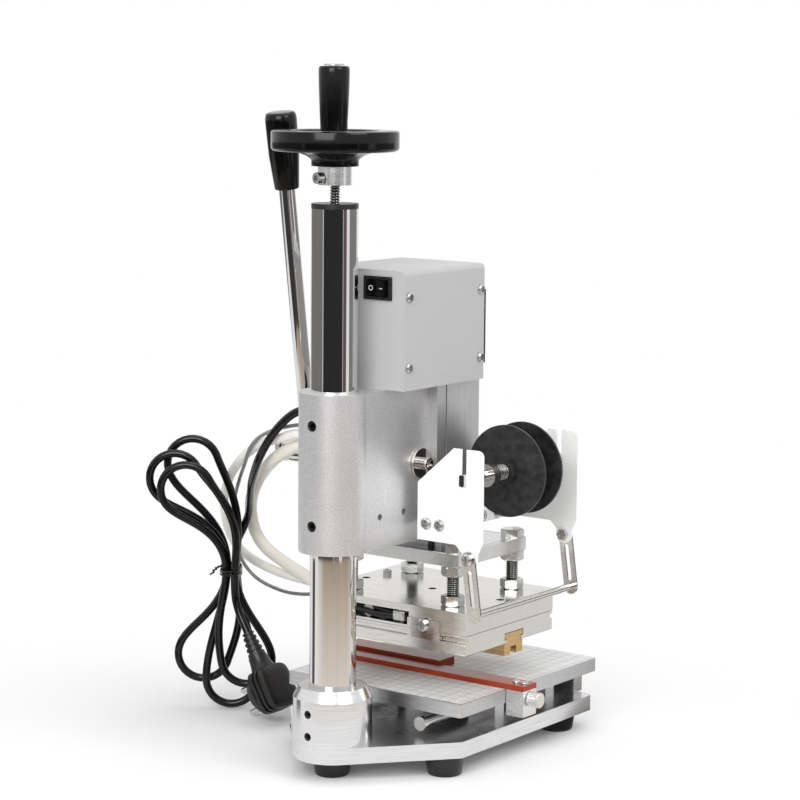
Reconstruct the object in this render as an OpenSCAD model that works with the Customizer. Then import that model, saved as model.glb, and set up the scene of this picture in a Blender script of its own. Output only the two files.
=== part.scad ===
/* [Base] */
// Width of the base plate
base_w = 167; // [150:1:200]
// Column axis to the front edge of the base plate
base_front = 235; // [228:1:260]
// Column axis to the widest part of the base plate
base_shoulder = 52; // [45:1:70]
// Radius of the base plate behind the column
base_nose_r = 30; // [28:0.5:36]
// Thickness of the base plate
base_t = 12.5; // [10:0.5:20]
// Height of a rubber foot
foot_h = 15; // [10:0.5:25]
// Diameter of a rubber foot under the plate
foot_d = 31; // [24:0.5:34]

/* [Column and handwheel] */
// Outer diameter of the column
column_d = 35; // [30:0.5:40]
// Wall of the column tube
column_wall = 6.5; // [5:0.25:8]
// Height of the column above the control box, head down
column_rise = 46; // [40:1:80]
// Diameter of the collar at the column's foot
collar_d = 60; // [54:0.5:66]
// Height of the collar at the column's foot
collar_h = 42; // [30:0.5:50]
// Diameter of the lift screw
screw_d = 8; // [6:0.5:10]
// How far the head rises on the column
lift_travel = 60; // [40:1:80]
// Diameter of the handwheel
wheel_d = 94.4; // [80:0.2:110]
// Diameter of the wheel's turning handle
handle_d = 22.5; // [18:0.5:25]
// Height of the turning handle
handle_h = 48; // [40:1:60]

/* [Head] */
// Outer diameter of the sleeve on the column
sleeve_d = 52.6; // [50:0.2:60]
// Height of the sleeve and its block
head_h = 120; // [110:1:140]
// Width of the block
block_w = 51; // [46:1:56]
// Column axis to the front face of the block
block_front = 85; // [80:1:100]
// Diameter of the lever shaft
shaft_d = 14; // [12:0.5:16]
// Module of the rack and pinion
gear_module = 1.5; // [1.25:0.05:1.75]
// Downward travel of the ram
ram_stroke = 13.5; // [8:0.5:14]

/* [Lever] */
// Block side to the lever's plane
lever_out = 56.5; // [50:0.5:65]
// Diameter of the lever rod
rod_d = 12.7; // [10:0.1:14]
// Shaft axis to the foot of the grip
rod_len = 207.8; // [170:0.2:240]
// Length of the grip
grip_len = 59.2; // [45:0.2:70]
// Largest diameter of the grip
grip_d = 24.5; // [22:0.5:32]
// Backward lean of the lever at rest, degrees
lever_lean = 8.1; // [0:0.1:15]

/* [Ram] */
// Width of the ram carriage and its guide
slide_w = 67; // [60:1:75]
// Thickness of the guide plate
guide_t = 11.6; // [10:0.2:14]
// Depth of the ram carriage, back to front
carriage_t = 42.5; // [36:0.5:48]
// Width of the adjusting plate
adjust_w = 116; // [110:1:130]
// Depth of the adjusting plate, back to front
adjust_l = 96; // [90:1:110]
// Thickness of the adjusting plate
adjust_t = 10.6; // [8:0.2:14]
// Clear height between the adjusting plate and the heater block
adjust_gap = 30.9; // [24:0.1:36]
// Diameter of the adjusting bolts
bolt_d = 10; // [8:1:10]

/* [Heater and die] */
// Width of the heater block
heater_w = 150; // [140:1:180]
// Depth of the heater block, back to front
heater_l = 120; // [112:1:140]
// Thickness of the heater block
heater_t = 17.8; // [16:0.2:24]
// Diameter of a heater cartridge
cartridge_d = 10; // [8:0.5:10]
// Thickness of the die plate
die_t = 15.2; // [13:0.2:20]
// Width of the type holder
holder_w = 25; // [20:0.5:30]
// Drop of the type holder below the die plate
holder_drop = 9.7; // [8:0.1:12]
// Clear height between the type holder and the stop bar
work_gap = 15.5; // [15:0.1:30]

/* [Control box] */
// Width of the control box
box_w = 84; // [80:1:100]
// Depth of the control box, back to front
box_l = 103; // [96:1:120]
// Height of the control box
box_h = 89.5; // [84:0.5:110]
// Thickness of the control box's sheet
sheet_t = 1.5; // [1:0.1:2]

/* [Foil holder] */
// Distance between the foil holder's two ears
ear_span = 127.5; // [120:0.5:140]
// Thickness of an ear
ear_t = 1.5; // [1:0.1:2.5]
// Diameter of the spool discs
disc_d = 71; // [60:1:76]
// Clear width between the spool discs
disc_gap = 20.6; // [12:0.2:26]
// Diameter of the spool shaft
spool_d = 9; // [7:0.5:11]

/* [Work table] */
// Width of the work table
table_w = 168; // [160:1:200]
// Depth of the work table, back to front
table_l = 190; // [184:1:210]
// Thickness of the work table
table_t = 10.5; // [8:0.5:14]
// Height of the table over the base plate
table_gap = 19; // [18:0.5:26]
// Diameter of the table's guide rods
guide_rod_d = 8; // [7:0.5:11]
// Length of the fence bar
fence_len = 200; // [190:1:220]
// Thickness of the fence bar
fence_t = 4.2; // [3:0.1:6]
// Thickness of the stop bar
stop_t = 6.7; // [6:0.1:9]

/* [Cords] */
// Diameter of the power cord
cord_d = 6.6; // [6:0.1:7]

/* [Clearances] */
// Radial play of a shaft in its bore
running_fit = 0.05; // [0.02:0.01:0.1]
// Play between sliding faces
slide_gap = 0.3; // [0.2:0.05:0.5]
// Radial play round screws and seated pieces
screw_fit = 0.1; // [0.05:0.05:0.2]

/* [Hidden] */
$fn = 48;
eps = 0.01;

// Metric screws: thread, head across, head height
m4 = [4, 7.4, 2.6];
m5 = [5, 8.5, 5];
m6 = [6, 10, 6];
m8 = [8, 13, 8];

// Levels of the base and the table
base_z = foot_h;
deck_z = base_z + base_t;
table_z = deck_z + table_gap;
table_top = table_z + table_t;
table_rear = -49;
table_front = table_rear - table_l;
rest_z = table_top + slide_gap;
stop_top = rest_z + stop_t;

// Levels of the ram, from the type holder upwards
holder_z = stop_top + work_gap;
die_z = holder_z + holder_drop;
die_top = die_z + die_t;
heater_z = die_top + slide_gap;
heater_top = heater_z + heater_t;
adjust_z = heater_top + adjust_gap;
adjust_top = adjust_z + adjust_t;
carriage_h = 127;
head_z = adjust_top + 8.5;
head_top = head_z + head_h;
pivot_z = head_z + 59.5;

// The head's faces, back to front
bore_d = column_d + 2 * running_fit;
pivot_y = -(block_front - 11.5);
guide_y = -block_front;
rail_y = guide_y - guide_t;
carriage_y = rail_y - 0.6;
carriage_front = carriage_y - carriage_t;
plate_y = carriage_y - 28.8;

// Rack and pinion
pinion_teeth = 20;
pinion_r = gear_module * pinion_teeth / 2;
pinion_w = 14;
pinion_tip_r = pinion_r + gear_module;
cavity_r = pinion_tip_r + 1.5;
cavity_w = pinion_w + 4;
gear_play = 0.15;
pressure_angle = 20;
rack_y = pivot_y - pinion_r;
rack_root_y = rack_y - 1.25 * gear_module;
rack_z0 = pivot_z - 14;
rack_z1 = pivot_z + 28;
rack_slot_w = pinion_w + 2;

// Guide rails on the guide plate
rail_x = 20;
rail_neck_w = 6;
rail_neck_t = 4;
rail_head_w = 12;
rail_head_t = 5;

// Lift screw, its nut and its bearing
column_top = head_top + box_h + column_rise;
tube_d = column_d - 2 * column_wall;
cap_t = 3.8;
bush_h = 10;
shoulder_h = 4;
shoulder_d = screw_d + 6;
bush_z = column_top - shoulder_h - bush_h;
screw_z = head_z + 42.5;
nut_h = 24;
nut_z = head_z + 57;
key_w = 10;
key_h = 16;
key_z = head_z + 63.5;
key_reach = sleeve_d / 2 + 3.7;
slot_z0 = key_z - 4;
slot_z1 = key_z + key_h + lift_travel + 4;

// Handwheel levels
hub_z = column_top + cap_t + 13.5;
hub_h = 13.4;
hub_d = screw_d + 17;
wheel_z = hub_z + hub_h + 0.3;
flange_d = 35;
flange_h = 4.6;
wheel_hub_h = 18;
wheel_nut_h = 0.8 * screw_d;
rim_z = wheel_z + 11;
rim_top = rim_z + 15;
handle_r = wheel_d / 2 - 8.7;
handle_at = handle_r * [-0.6, 0.8];
spindle_d = 8;
spindle_cap = [15, 1.2];
handle_z = rim_top + 0.4;
spindle_top = handle_z + handle_h;

// Lever shaft and lever
bush_d = shaft_d + 6;
lever_x = block_w / 2 + lever_out;
hub_x0 = lever_x - 14;
hub_x1 = lever_x + 21;
lever_hub_d = shaft_d + 10;
shaft_end = hub_x1 + 1;
rod_seat_r = shaft_d / 2 + 0.8;
spigot_d = rod_d - 4.7;
washer_t = 2;
spring_wire = 2.5;
spring_turns = 9;

// Control box
box_rear = -30;
box_front = box_rear - box_l;
box_top = head_top + box_h;
bend_r = 4;
flange_w = 10;
side_screw_y = [box_rear - 5.5, box_front + 5.5];
side_screw_z = [head_top + 17.3, box_top - 19.6];
switch_x = -18;
switch_z = box_top - 13.6;
switch_size = [25.5, 17.5];
switch_body = [22, 14, 17];
rocker_size = [18, 12.4];
rocker_opening = [20.2, 13];
rocker_pin_d = 3;
rocker_y = box_rear + 0.5;
bezel_size = [80, 57];
bezel_t = 5;
controller_body = [67, 50, 58];
controller_z = head_top + 40.5;
board_z = head_top + sheet_t + 5;
board_size = [70, 34, 1.6];
board_y = box_rear - 5;

// Foil holder, measured from the ram's left face
ear_x = -slide_w / 2;
ear_rear = plate_y + ear_span / 2 + ear_t + 0.25;
ear_front = plate_y - ear_span / 2 + 0.25;
spool_x = ear_x - 42.5;
spool_z = heater_top + 103;
ear_slot_w = 4.7;
spool_flat = ear_slot_w - 0.1;
ear_slot_z = spool_z - spool_d / 2;
ear_top = spool_z + 23.5;
crossbar_w = 25;
crossbar_h = 9;
crossbar_z = spool_z - disc_d / 2 + 3.5 - crossbar_h;
ear_screw_x = [ear_x - 8.5, ear_x - 20.9];
ear_screw_z = crossbar_z + crossbar_h / 2;
tab_x = ear_x - 48.5;
tab_z = crossbar_z - 18.2;
tab_w = 14.3;
disc_t = 2;
disc_boss_d = 20;
disc_boss_h = 4.5;
disc_rear_y = ear_rear - ear_t - 54.5;
disc_front_y = disc_rear_y - disc_t - disc_gap;
spool_collar_d = spool_d + 8.7;
spool_collar_y = ear_rear - ear_t - 26.85;
spool_collar_w = 8;
link_t = 1.5;
link_w = 12;
link_at = [tab_x - 6, tab_z - 41.8];
foil_bar_d = 6;
pivot_screw_d = 5;

// Heater, die plate and latches
heater_rear = plate_y + heater_l / 2;
heater_front = plate_y - heater_l / 2;
pocket_x0 = -22;
pocket_x1 = 62;
pocket_depth = 14;
pocket_z0 = heater_z + 1.8;
pocket_z1 = heater_top - 5.5;
cartridge_x = [-12, 20, 50];
cartridge_z = heater_z + 7;
cartridge_len = heater_l - 30;
heater_hole_d = 6.5;
heater_holes = [[-67, 2], [-2, 2], [64, 2]];
heater_screw = [59.5, plate_y - 20];
heater_screw_size = [4, 7, 3.6];
bolt_x = adjust_w / 2 - 9;
bolt_y = adjust_l / 2 - 8;
bolt_af = 1.6 * bolt_d;
bolt_head_h = 0.64 * bolt_d;
nut_t = 0.8 * bolt_d;
bolt_seat = heater_top - cartridge_z - cartridge_d / 2 - 1.5;
plate_screw_x = slide_w / 2 - 8;
plate_screw_y = [carriage_y - 12, carriage_front + 8];
groove_z = die_top - 4.2;
groove_h = 4.6;
groove_depth = 3.2;
latch_w = 30;
latch_x = 37;
latch_t = 2;
latch_z = groove_z - 2;
latch_h = 15;
latch_screw_z = heater_z + 4.3;
latch_screw_head = 10;
lip_h = 2.2;
lip_l = 2.6;
t_slot_y = plate_y - 6.25;
t_lip = 3;
t_head_h = 4.4;
holder_len = heater_w - 1;
type_groove = [8, 6];

// Table guides, rods, fence and stop
guide_x = 48;
guide_z = deck_z + table_gap / 2;
guide_block = [26, 12];
guide_block_top = table_z - 1.2;
guide_block_y = [-134, -205];
rod_head_d = guide_rod_d + 3;
rod_head_t = 4;
rod_rear = table_rear + 3;
front_bar_t = 12;
front_bar_w = 140;
front_bar_y = table_front + front_bar_t;
rod_seat = 8;
fence_y = -108.5;
fence_w = 18.5;
clamp_w = 18;
clamp_x1 = -table_w / 2 - slide_gap;
clamp_x0 = clamp_x1 - 15.7;
clamp_z = table_top - 20;
clamp_y = fence_y - fence_w / 2;
thumb_d = 6;
thumb_z = table_top - table_t * 0.62;
dowel_d = 4;
stop_y = fence_y - fence_w - 1;
stop_w = 20;
stop_x0 = -7;
stop_x1 = 90;
stop_stud_x = [20, 72];
stop_travel = 12;
stop_stud_d = 6;
stop_skin = 2;

// Power cord: picture-right and away-from-viewer directions of the hank
hank_side = [-0.8, -0.6, 0];
hank_depth = [0.6, -0.8, 0];
hank_waist = [181, -93, 118];
hank_pitch = 7.6;
lobe_r = 21;
lobe_len = [98, 114, 114, 110, 96, 98];
lobe_lean = [18, 20, 0, 31, -10, 28];
lobe_rings = 12;
plug_run = [[0, 0, -11], [-1.2, 0, -22.5], [-5, 0, -33], [-10, 0, -41.5], [-14, 0, -48.2]];
plug_tilt = 30;
plug_neck = 50;
lead_run = [[56.3, -44, 268], [66, -43.7, 267.4], [77.5, -41.2, 261], [90.5, -38, 247], [106, -40.5, 227],
    [126.5, -56, 205.5], [148, -79, 187.5], [164.8, -98.2, 173.5], [175.4, -107.6, 161.5],
    [181.6, -108.4, 150]];
hank_tail = [0, 0, 14];

// Heater leads: outlet on the block's side to the heater block's side
white_d = 7.5;
cream_d = 10;
braid_d = 3;
white_run = [[31.5, -37, 246], [46, -37, 246], [67, -41, 249], [92, -47, 242], [115.5, -54.5, 235],
    [146, -74, 222.5], [176, -96, 207.5], [198.5, -111, 190.5], [210.5, -118.5, 172], [213, -124, 151.5],
    [207, -127, 134], [192.5, -129.3, 122], [168, -129, 115], [140, -125, 112.5],
    [96, -116.6, 113], [75.3, -116, 113]];
cream_run = [[31.5, -51, 244], [46, -51, 244], [70, -50.5, 239.5], [90, -53, 231.5], [110, -59, 220],
    [148, -88, 197.5], [178, -115, 173], [184.5, -125.5, 150.5], [176, -129, 134], [151, -124, 124.5],
    [112, -109, 118.5], [90, -97.3, 115.5], [75.3, -97, 115.5]];
braid_run = [[31.5, -44, 257], [42, -44, 257], [66, -44, 256], [91, -44.8, 250.3], [111, -47.5, 242],
    [127.5, -54.5, 230.5], [150, -74, 212.5], [172, -94, 196.5], [191, -109.5, 174.5], [197.5, -116, 148],
    [193.5, -119.5, 123.5], [178, -121.5, 107.5], [150.5, -119.5, 101], [123, -113, 102.5], [92, -107.5, 108],
    [75.3, -106.5, 108.5]];

// Solids along the axes
module box_at(lo, hi) { translate(lo) cube(hi - lo); }
module bar_x(d, x0, x1, y, z) { translate([x0, y, z]) rotate([0, 90, 0]) cylinder(d = d, h = x1 - x0); }
module bar_y(d, y0, y1, x, z) { translate([x, y0, z]) rotate([-90, 0, 0]) cylinder(d = d, h = y1 - y0); }
module bar_z(d, z0, z1, x, y) { translate([x, y, z0]) cylinder(d = d, h = z1 - z0); }
module plate_xz(y_rear, t) { translate([0, y_rear, 0]) rotate([90, 0, 0]) linear_extrude(t) children(); }
module prism_x(x0, x1) { translate([x0, 0, 0]) rotate([90, 0, 90]) linear_extrude(x1 - x0) children(); }
module span(lo, hi) { translate(lo) square(hi - lo); }
module round_span(lo, hi, r) {
    span(lo + [r, 0], hi - [r, 0]);
    span(lo + [0, r], hi - [0, r]);
    for (x = [lo[0] + r, hi[0] - r])
        for (y = [lo[1] + r, hi[1] - r])
            translate([x, y]) circle(r);
}

// Screws point down from their seat at the origin
module cap_screw(m, length) {
    difference() {
        union() {
            cylinder(d = m[1], h = m[2]);
            translate([0, 0, -length]) cylinder(d = m[0], h = length + eps);
        }
        translate([0, 0, m[2] / 2]) cylinder(d = m[0], h = m[2], $fn = 6);
    }
}
module pan_screw(m, length) {
    difference() {
        union() {
            rotate_extrude() polygon([[0, 0], [m[1] / 2, 0], [m[1] / 2, m[2] * 0.55],
                [m[1] * 0.36, m[2]], [0, m[2]]]);
            translate([0, 0, -length]) cylinder(d = m[0], h = length + eps);
        }
        for (turn = [0, 90])
            rotate([0, 0, turn]) translate([-m[1] * 0.28, -m[1] * 0.06, m[2] * 0.4])
                cube([m[1] * 0.56, m[1] * 0.12, m[2]]);
    }
}
module grub_screw(d, length) {
    difference() {
        cylinder(d = d, h = length);
        translate([0, 0, length - d / 2]) cylinder(d = d * 0.55, h = d, $fn = 6);
    }
}
module facing_left(at) { translate(at) rotate([0, -90, 0]) children(); }
module facing_right(at) { translate(at) rotate([0, 90, 0]) children(); }
module facing_rear(at) { translate(at) rotate([-90, 0, 0]) children(); }
module facing_front(at) { translate(at) rotate([90, 0, 0]) children(); }
module facing_down(at) { translate(at) rotate([180, 0, 0]) children(); }

// Smooth paths and round tubes along them
function unit(a) = a / norm(a);
function blend(a, b, c, d, t) =
    0.5 * (2 * b + (c - a) * t + (2 * a - 5 * b + 4 * c - d) * t * t + (3 * b - a - 3 * c + d) * t * t * t);
function curve(p, steps) = let (n = len(p), q = concat([2 * p[0] - p[1]], p, [2 * p[n - 1] - p[n - 2]]))
    concat([for (i = [0:n - 2]) for (k = [0:steps - 1]) blend(q[i], q[i + 1], q[i + 2], q[i + 3], k / steps)],
        [p[n - 1]]);
function tangents(p) = [for (i = [0:len(p) - 1]) unit(p[min(i + 1, len(p) - 1)] - p[max(i - 1, 0)])];
function carried(u, t) = unit(u - t * (u * t));
function frames(t, u, i = 0, made = []) = i == len(t) ? made :
    let (v = carried(u, t[i])) frames(t, v, i + 1, concat(made, [v]));
module tube(path, d, sides, start = [0, 0.3, 1]) {
    t = tangents(path);
    u = frames(t, start);
    n = len(path);
    points = [for (i = [0:n - 1]) for (j = [0:sides - 1]) let (a = 360 * j / sides)
        path[i] + d / 2 * (cos(a) * u[i] + sin(a) * cross(t[i], u[i]))];
    walls = [for (i = [0:n - 2]) for (j = [0:sides - 1])
        let (a = i * sides + j, b = i * sides + (j + 1) % sides, c = b + sides, e = a + sides)
        each [[a, e, c], [a, c, b]]];
    first = [for (j = [1:sides - 2]) [0, j, j + 1]];
    last = [for (j = [1:sides - 2]) [(n - 1) * sides, (n - 1) * sides + j + 1, (n - 1) * sides + j]];
    polyhedron(points, concat(walls, first, last));
}
function least_gap(p, d, apart) =
    min([for (i = [0:len(p) - 1 - apart]) for (j = [i + apart:len(p) - 1]) norm(p[i] - p[j])]) - d;

// A coil round the Y axis, closed up at both ends and straight at its two tips
function coil(r, wire, length, turns, per_turn) = [for (i = [0:turns * per_turn])
    let (a = 360 * i / per_turn)
    [r * cos(a), -wire / 2 - (length - wire) * i / (turns * per_turn), r * sin(a)]];

// The hank: lobes hang and stand by turns from slots at its drawn-in waist
function ease(t) = t * t * (3 - 2 * t);
function slot_side(k) = k % 2 == 0 ? 1 : -1;
function slot_row(k) = (1.5 - floor(k / 2)) * hank_pitch;
function slot(k) = hank_waist + hank_side * slot_side(k) * hank_pitch / 2 + hank_depth * slot_row(k);
function lobe(j, s) = let (
    run = lobe_len[j] - lobe_r,
    arc = PI * lobe_r,
    total = 2 * run + arc,
    along = s * total,
    t = min(1, min(along, total - along) / run),
    turn = 180 * max(0, min(1, (along - run) / arc)),
    spread = hank_pitch / 2 + (lobe_r - hank_pitch / 2) * ease(t),
    across = slot_side(j) * (t < 1 ? (along < total / 2 ? spread : -spread) : lobe_r * cos(turn)),
    out = t < 1 ? t * run : run + lobe_r * sin(turn),
    lean = lobe_lean[j] * ease(min(1, out / run)),
    side = across * cos(lean) - out * sin(lean),
    rise = (out * cos(lean) + across * sin(lean)) * (j % 2 == 0 ? -1 : 1),
    row = slot_row(j) + (slot_row(j + 1) - slot_row(j)) * ease(s))
    hank_waist + hank_side * side + hank_depth * row + [0, 0, rise];
function hank(rings) = concat([slot(0) + hank_tail, slot(0) + hank_tail / 2],
    [for (j = [0:5]) for (i = [0:rings - 1]) lobe(j, i / rings)],
    [slot(6)], [for (p = plug_run) slot(6) + p]);
lead_path = curve(concat(lead_run, [slot(0) + 1.5 * hank_tail, slot(0) + hank_tail]), 2);
echo(hank_gap = least_gap(hank(40), cord_d, 10));

// Bearing spring on the lever shaft and pressing spring on the spool shaft
return_r = shaft_d / 2 + 0.6 + spring_wire / 2;
return_len = lever_out - 14 - 1;
return_path = coil(return_r, spring_wire, return_len, spring_turns, 8);
spool_wire = 1.2;
spool_spring_r = spool_d / 2 + 0.45 + spool_wire / 2;
spool_spring_len = spool_collar_y - spool_collar_w - disc_rear_y - disc_boss_h - 2 * slide_gap;
spool_path = coil(spool_spring_r, spool_wire, spool_spring_len, 6, 8);
echo(return_spring_gap = least_gap(return_path, spring_wire, 6));
echo(spool_spring_gap = least_gap(spool_path, spool_wire, 6));

// Base
foot_at = [[0, 0], [66, -54], [-66, -54], [62, -214], [-62, -214]];
foot_stud = [6, 8];
collar_screw_r = (column_d + collar_d) / 4;
collar_screw_at = [for (a = [45:90:315]) collar_screw_r * [cos(a), sin(a)]];
collar_set_z = [deck_z + 7.5, deck_z + 24.5];
guide_screw_at = [for (x = [-guide_x, guide_x]) for (y = guide_block_y) for (s = [-9.5, 9.5]) [x + s, y]];
module base_outline() {
    corner = [base_w / 2, -base_shoulder];
    touch = atan2(corner[1], corner[0]) + acos(base_nose_r / norm(corner));
    tangent = base_nose_r * [cos(touch), sin(touch)];
    edge_r = 5;
    round_span([-base_w / 2, -base_front], [base_w / 2, -base_shoulder], edge_r);
    polygon([[-base_w / 2, -base_shoulder - edge_r], [base_w / 2, -base_shoulder - edge_r],
        corner, tangent, [-tangent[0], tangent[1]], [-corner[0], corner[1]]]);
    circle(base_nose_r, $fn = 96);
}
module base_plate() {
    color("silver") difference() {
        translate([0, 0, base_z]) linear_extrude(base_t) base_outline();
        for (p = foot_at)
            bar_z(foot_stud[0] + 2 * screw_fit, base_z - eps, base_z + foot_stud[1] + 0.2, p[0], p[1]);
        for (p = collar_screw_at) {
            bar_z(m6[0] + 2 * screw_fit, base_z - eps, deck_z + eps, p[0], p[1]);
            bar_z(m6[1] + 1, base_z - eps, base_z + m6[2] + 0.5, p[0], p[1]);
        }
        for (p = guide_screw_at) {
            bar_z(m4[0] + 2 * screw_fit, base_z - eps, deck_z + eps, p[0], p[1]);
            bar_z(m4[1] + 1, base_z - eps, base_z + m4[2] + 0.5, p[0], p[1]);
        }
    }
}
module rubber_feet() {
    color("#1b1b1c") for (p = foot_at)
        translate(p) {
            cylinder(d1 = foot_d - 5, d2 = foot_d, h = foot_h);
            translate([0, 0, foot_h - eps]) cylinder(d = foot_stud[0], h = foot_stud[1] + eps);
        }
}
module column_collar() {
    inner = column_d / 2 + screw_fit;
    outer = collar_d / 2;
    chamfer = [4.5, 8];
    color("gainsboro") difference() {
        translate([0, 0, deck_z]) rotate_extrude($fn = 96) polygon([[inner, 0], [outer, 0],
            [outer, collar_h - chamfer[1]], [outer - chamfer[0], collar_h], [inner, collar_h]]);
        for (z = collar_set_z)
            bar_y(m6[0] + 2 * screw_fit, 0, collar_d, 0, z);
        for (p = collar_screw_at)
            bar_z(m6[0] + 2 * screw_fit, deck_z - eps, deck_z + 21, p[0], p[1]);
    }
}
module base_screws() {
    color("dimgray") {
        for (p = collar_screw_at)
            facing_down([p[0], p[1], base_z + m6[2] + 0.5]) cap_screw(m6, base_t - m6[2] + 19);
        for (p = guide_screw_at)
            facing_down([p[0], p[1], base_z + m4[2] + 0.5]) pan_screw(m4, base_t - m4[2] + 8);
        for (z = collar_set_z)
            facing_rear([0, column_d / 2 + screw_fit + 0.1, z])
                grub_screw(m6[0], (collar_d - column_d) / 2 - 1.5);
    }
}
module column() {
    color("lightsteelblue") difference() {
        bar_z(column_d, deck_z, column_top, 0, 0, $fn = 96);
        bar_z(tube_d, deck_z - eps, column_top + eps, 0, 0, $fn = 96);
        box_at([-key_w / 2 - running_fit, -column_d, slot_z0], [key_w / 2 + running_fit, 0, slot_z1]);
    }
}
module column_cap() {
    color("#202022") difference() {
        union() {
            bar_z(column_d, column_top, column_top + cap_t, 0, 0, $fn = 96);
            bar_z(tube_d - 2 * screw_fit, bush_z, bush_z + bush_h, 0, 0);
        }
        bar_z(screw_d + 2 * running_fit, bush_z - eps, column_top + cap_t + eps, 0, 0);
    }
}
module table_guides() {
    color("silver") for (x = [-guide_x, guide_x])
        for (y = guide_block_y)
            difference() {
                box_at([x - guide_block[0] / 2, y - guide_block[1] / 2, deck_z],
                    [x + guide_block[0] / 2, y + guide_block[1] / 2, guide_block_top]);
                bar_y(guide_rod_d + 2 * running_fit, y - guide_block[1], y + guide_block[1], x, guide_z);
                for (p = guide_screw_at)
                    bar_z(m4[0] + 2 * screw_fit, deck_z - eps, deck_z + 9, p[0], p[1]);
            }
}

// Lift screw and handwheel
module lead_screw() {
    color("darkgray") {
        bar_z(screw_d, screw_z, wheel_z + wheel_hub_h + wheel_nut_h + 1, 0, 0);
        bar_z(shoulder_d, bush_z + bush_h + running_fit, column_top - running_fit, 0, 0);
    }
}
module hub_clamp() {
    color("gainsboro") difference() {
        bar_z(hub_d, hub_z, hub_z + hub_h, 0, 0);
        bar_z(screw_d + 2 * screw_fit, hub_z - eps, hub_z + hub_h + eps, 0, 0);
        rotate([0, 0, 76]) bar_x(m5[0] + 2 * screw_fit, 0, hub_d, 0, hub_z + 5.3);
    }
}
module handwheel() {
    color("#161617") difference() {
        translate([0, 0, wheel_z]) rotate_extrude($fn = 96) polygon([
            [screw_d / 2 + screw_fit, 0], [flange_d / 2, 0], [flange_d / 2, flange_h],
            [flange_d / 2 + 4, 7.5], [flange_d / 2 + 11, 10.2], [wheel_d / 2 - 2.5, 11], [wheel_d / 2, 12.8],
            [wheel_d / 2, 24.8], [wheel_d / 2 - 1.2, rim_top - wheel_z],
            [wheel_d / 2 - 15, rim_top - wheel_z], [wheel_d / 2 - 17.5, 23],
            [flange_d / 2 + 3, 15], [flange_d / 2 - 1, 17], [8, wheel_hub_h],
            [screw_d / 2 + screw_fit, wheel_hub_h]]);
        bar_z(spindle_d + 2 * screw_fit, wheel_z, rim_top + eps, handle_at[0], handle_at[1]);
    }
}
module wheel_fixings() {
    color("silver") {
        bar_z(spindle_d, rim_z + 4, spindle_top, handle_at[0], handle_at[1]);
        bar_z(spindle_cap[0], spindle_top - spindle_cap[1], spindle_top, handle_at[0], handle_at[1]);
        rotate([0, 0, 76]) facing_right([hub_d / 2 + 0.2, 0, hub_z + 5.3])
            cap_screw(m5, hub_d / 2 - screw_d / 2 - 0.3);
        difference() {
            translate([0, 0, wheel_z + wheel_hub_h]) cylinder(d = 1.9 * screw_d, h = wheel_nut_h, $fn = 6);
            bar_z(screw_d + 2 * screw_fit, wheel_z, rim_top, 0, 0);
        }
    }
}
module wheel_handle() {
    r = handle_d / 2;
    h = handle_h - spindle_cap[1] - 0.3;
    bore = spindle_d / 2 + running_fit;
    color("#101011") translate([handle_at[0], handle_at[1], handle_z]) rotate_extrude() polygon([
        [bore, 0], [r - 2.2, 0], [r - 1.6, 0.8], [r - 0.6, h * 0.45], [r, h - 3.5], [r - 0.3, h - 1],
        [r - 1.4, h], [bore, h]]);
}

// Head on the column
bush_len = block_w / 2 - cavity_w / 2 - 0.5;
head_plate_screws = [for (x = [-18, 18]) for (z = [head_z + 12, head_top - 12]) [x, z]];
head_set_z = [head_z + 21.5, head_top - 23.5];
side_hole_y = [-23.9, -53.6];
box_screw_y = [-46, -74];
outlet_lo = [block_w / 2, -58, pivot_z + 4];
outlet_hi = [block_w / 2 + 6, -30, pivot_z + 46];
module head_block() {
    color("silver") difference() {
        union() {
            bar_z(sleeve_d, head_z, head_top, 0, 0, $fn = 96);
            box_at([-block_w / 2, -block_front, head_z], [block_w / 2, 0, head_top]);
        }
        bar_z(bore_d, head_z - eps, head_top + eps, 0, 0, $fn = 96);
        box_at([-key_w / 2 - screw_fit, -key_reach - screw_fit, key_z - screw_fit],
            [key_w / 2 + screw_fit, 0, key_z + key_h + screw_fit]);
        bar_x(bush_d + 2 * screw_fit, -block_w, block_w, pivot_y, pivot_z);
        bar_x(2 * cavity_r, -cavity_w / 2, cavity_w / 2, pivot_y, pivot_z);
        box_at([-cavity_w / 2, -block_front - eps, pivot_z - cavity_r],
            [cavity_w / 2, pivot_y, pivot_z + cavity_r]);
        for (z = head_set_z)
            bar_y(m8[0] + 2 * screw_fit, 0, sleeve_d, 0, z);
        for (y = side_hole_y)
            bar_x(m5[0], -block_w / 2 - eps, -block_w / 2 + 8, y, head_z + 24.5);
        for (p = head_plate_screws)
            bar_y(m6[0] + 2 * screw_fit, -block_front - eps, -block_front + 16, p[0], p[1]);
        for (y = box_screw_y)
            bar_z(m5[0] + 2 * screw_fit, head_top - 12, head_top + eps, 0, y);
    }
}
module head_screws() {
    color("dimgray") {
        for (z = head_set_z)
            facing_rear([0, bore_d / 2 + 0.1, z]) grub_screw(m8[0], (sleeve_d - bore_d) / 2 - 1.4);
        for (p = head_plate_screws)
            facing_front([p[0], guide_y - guide_t + m6[2] + 0.5, p[1]])
                cap_screw(m6, guide_t - m6[2] + 14);
    }
}
module lead_nut() {
    color("goldenrod") difference() {
        union() {
            bar_z(tube_d - 0.4, nut_z, nut_z + nut_h, 0, 0);
            box_at([-key_w / 2, -key_reach, key_z], [key_w / 2, 0, key_z + key_h]);
        }
        bar_z(screw_d + 2 * running_fit, nut_z - eps, nut_z + nut_h + eps, 0, 0);
    }
}
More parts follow.
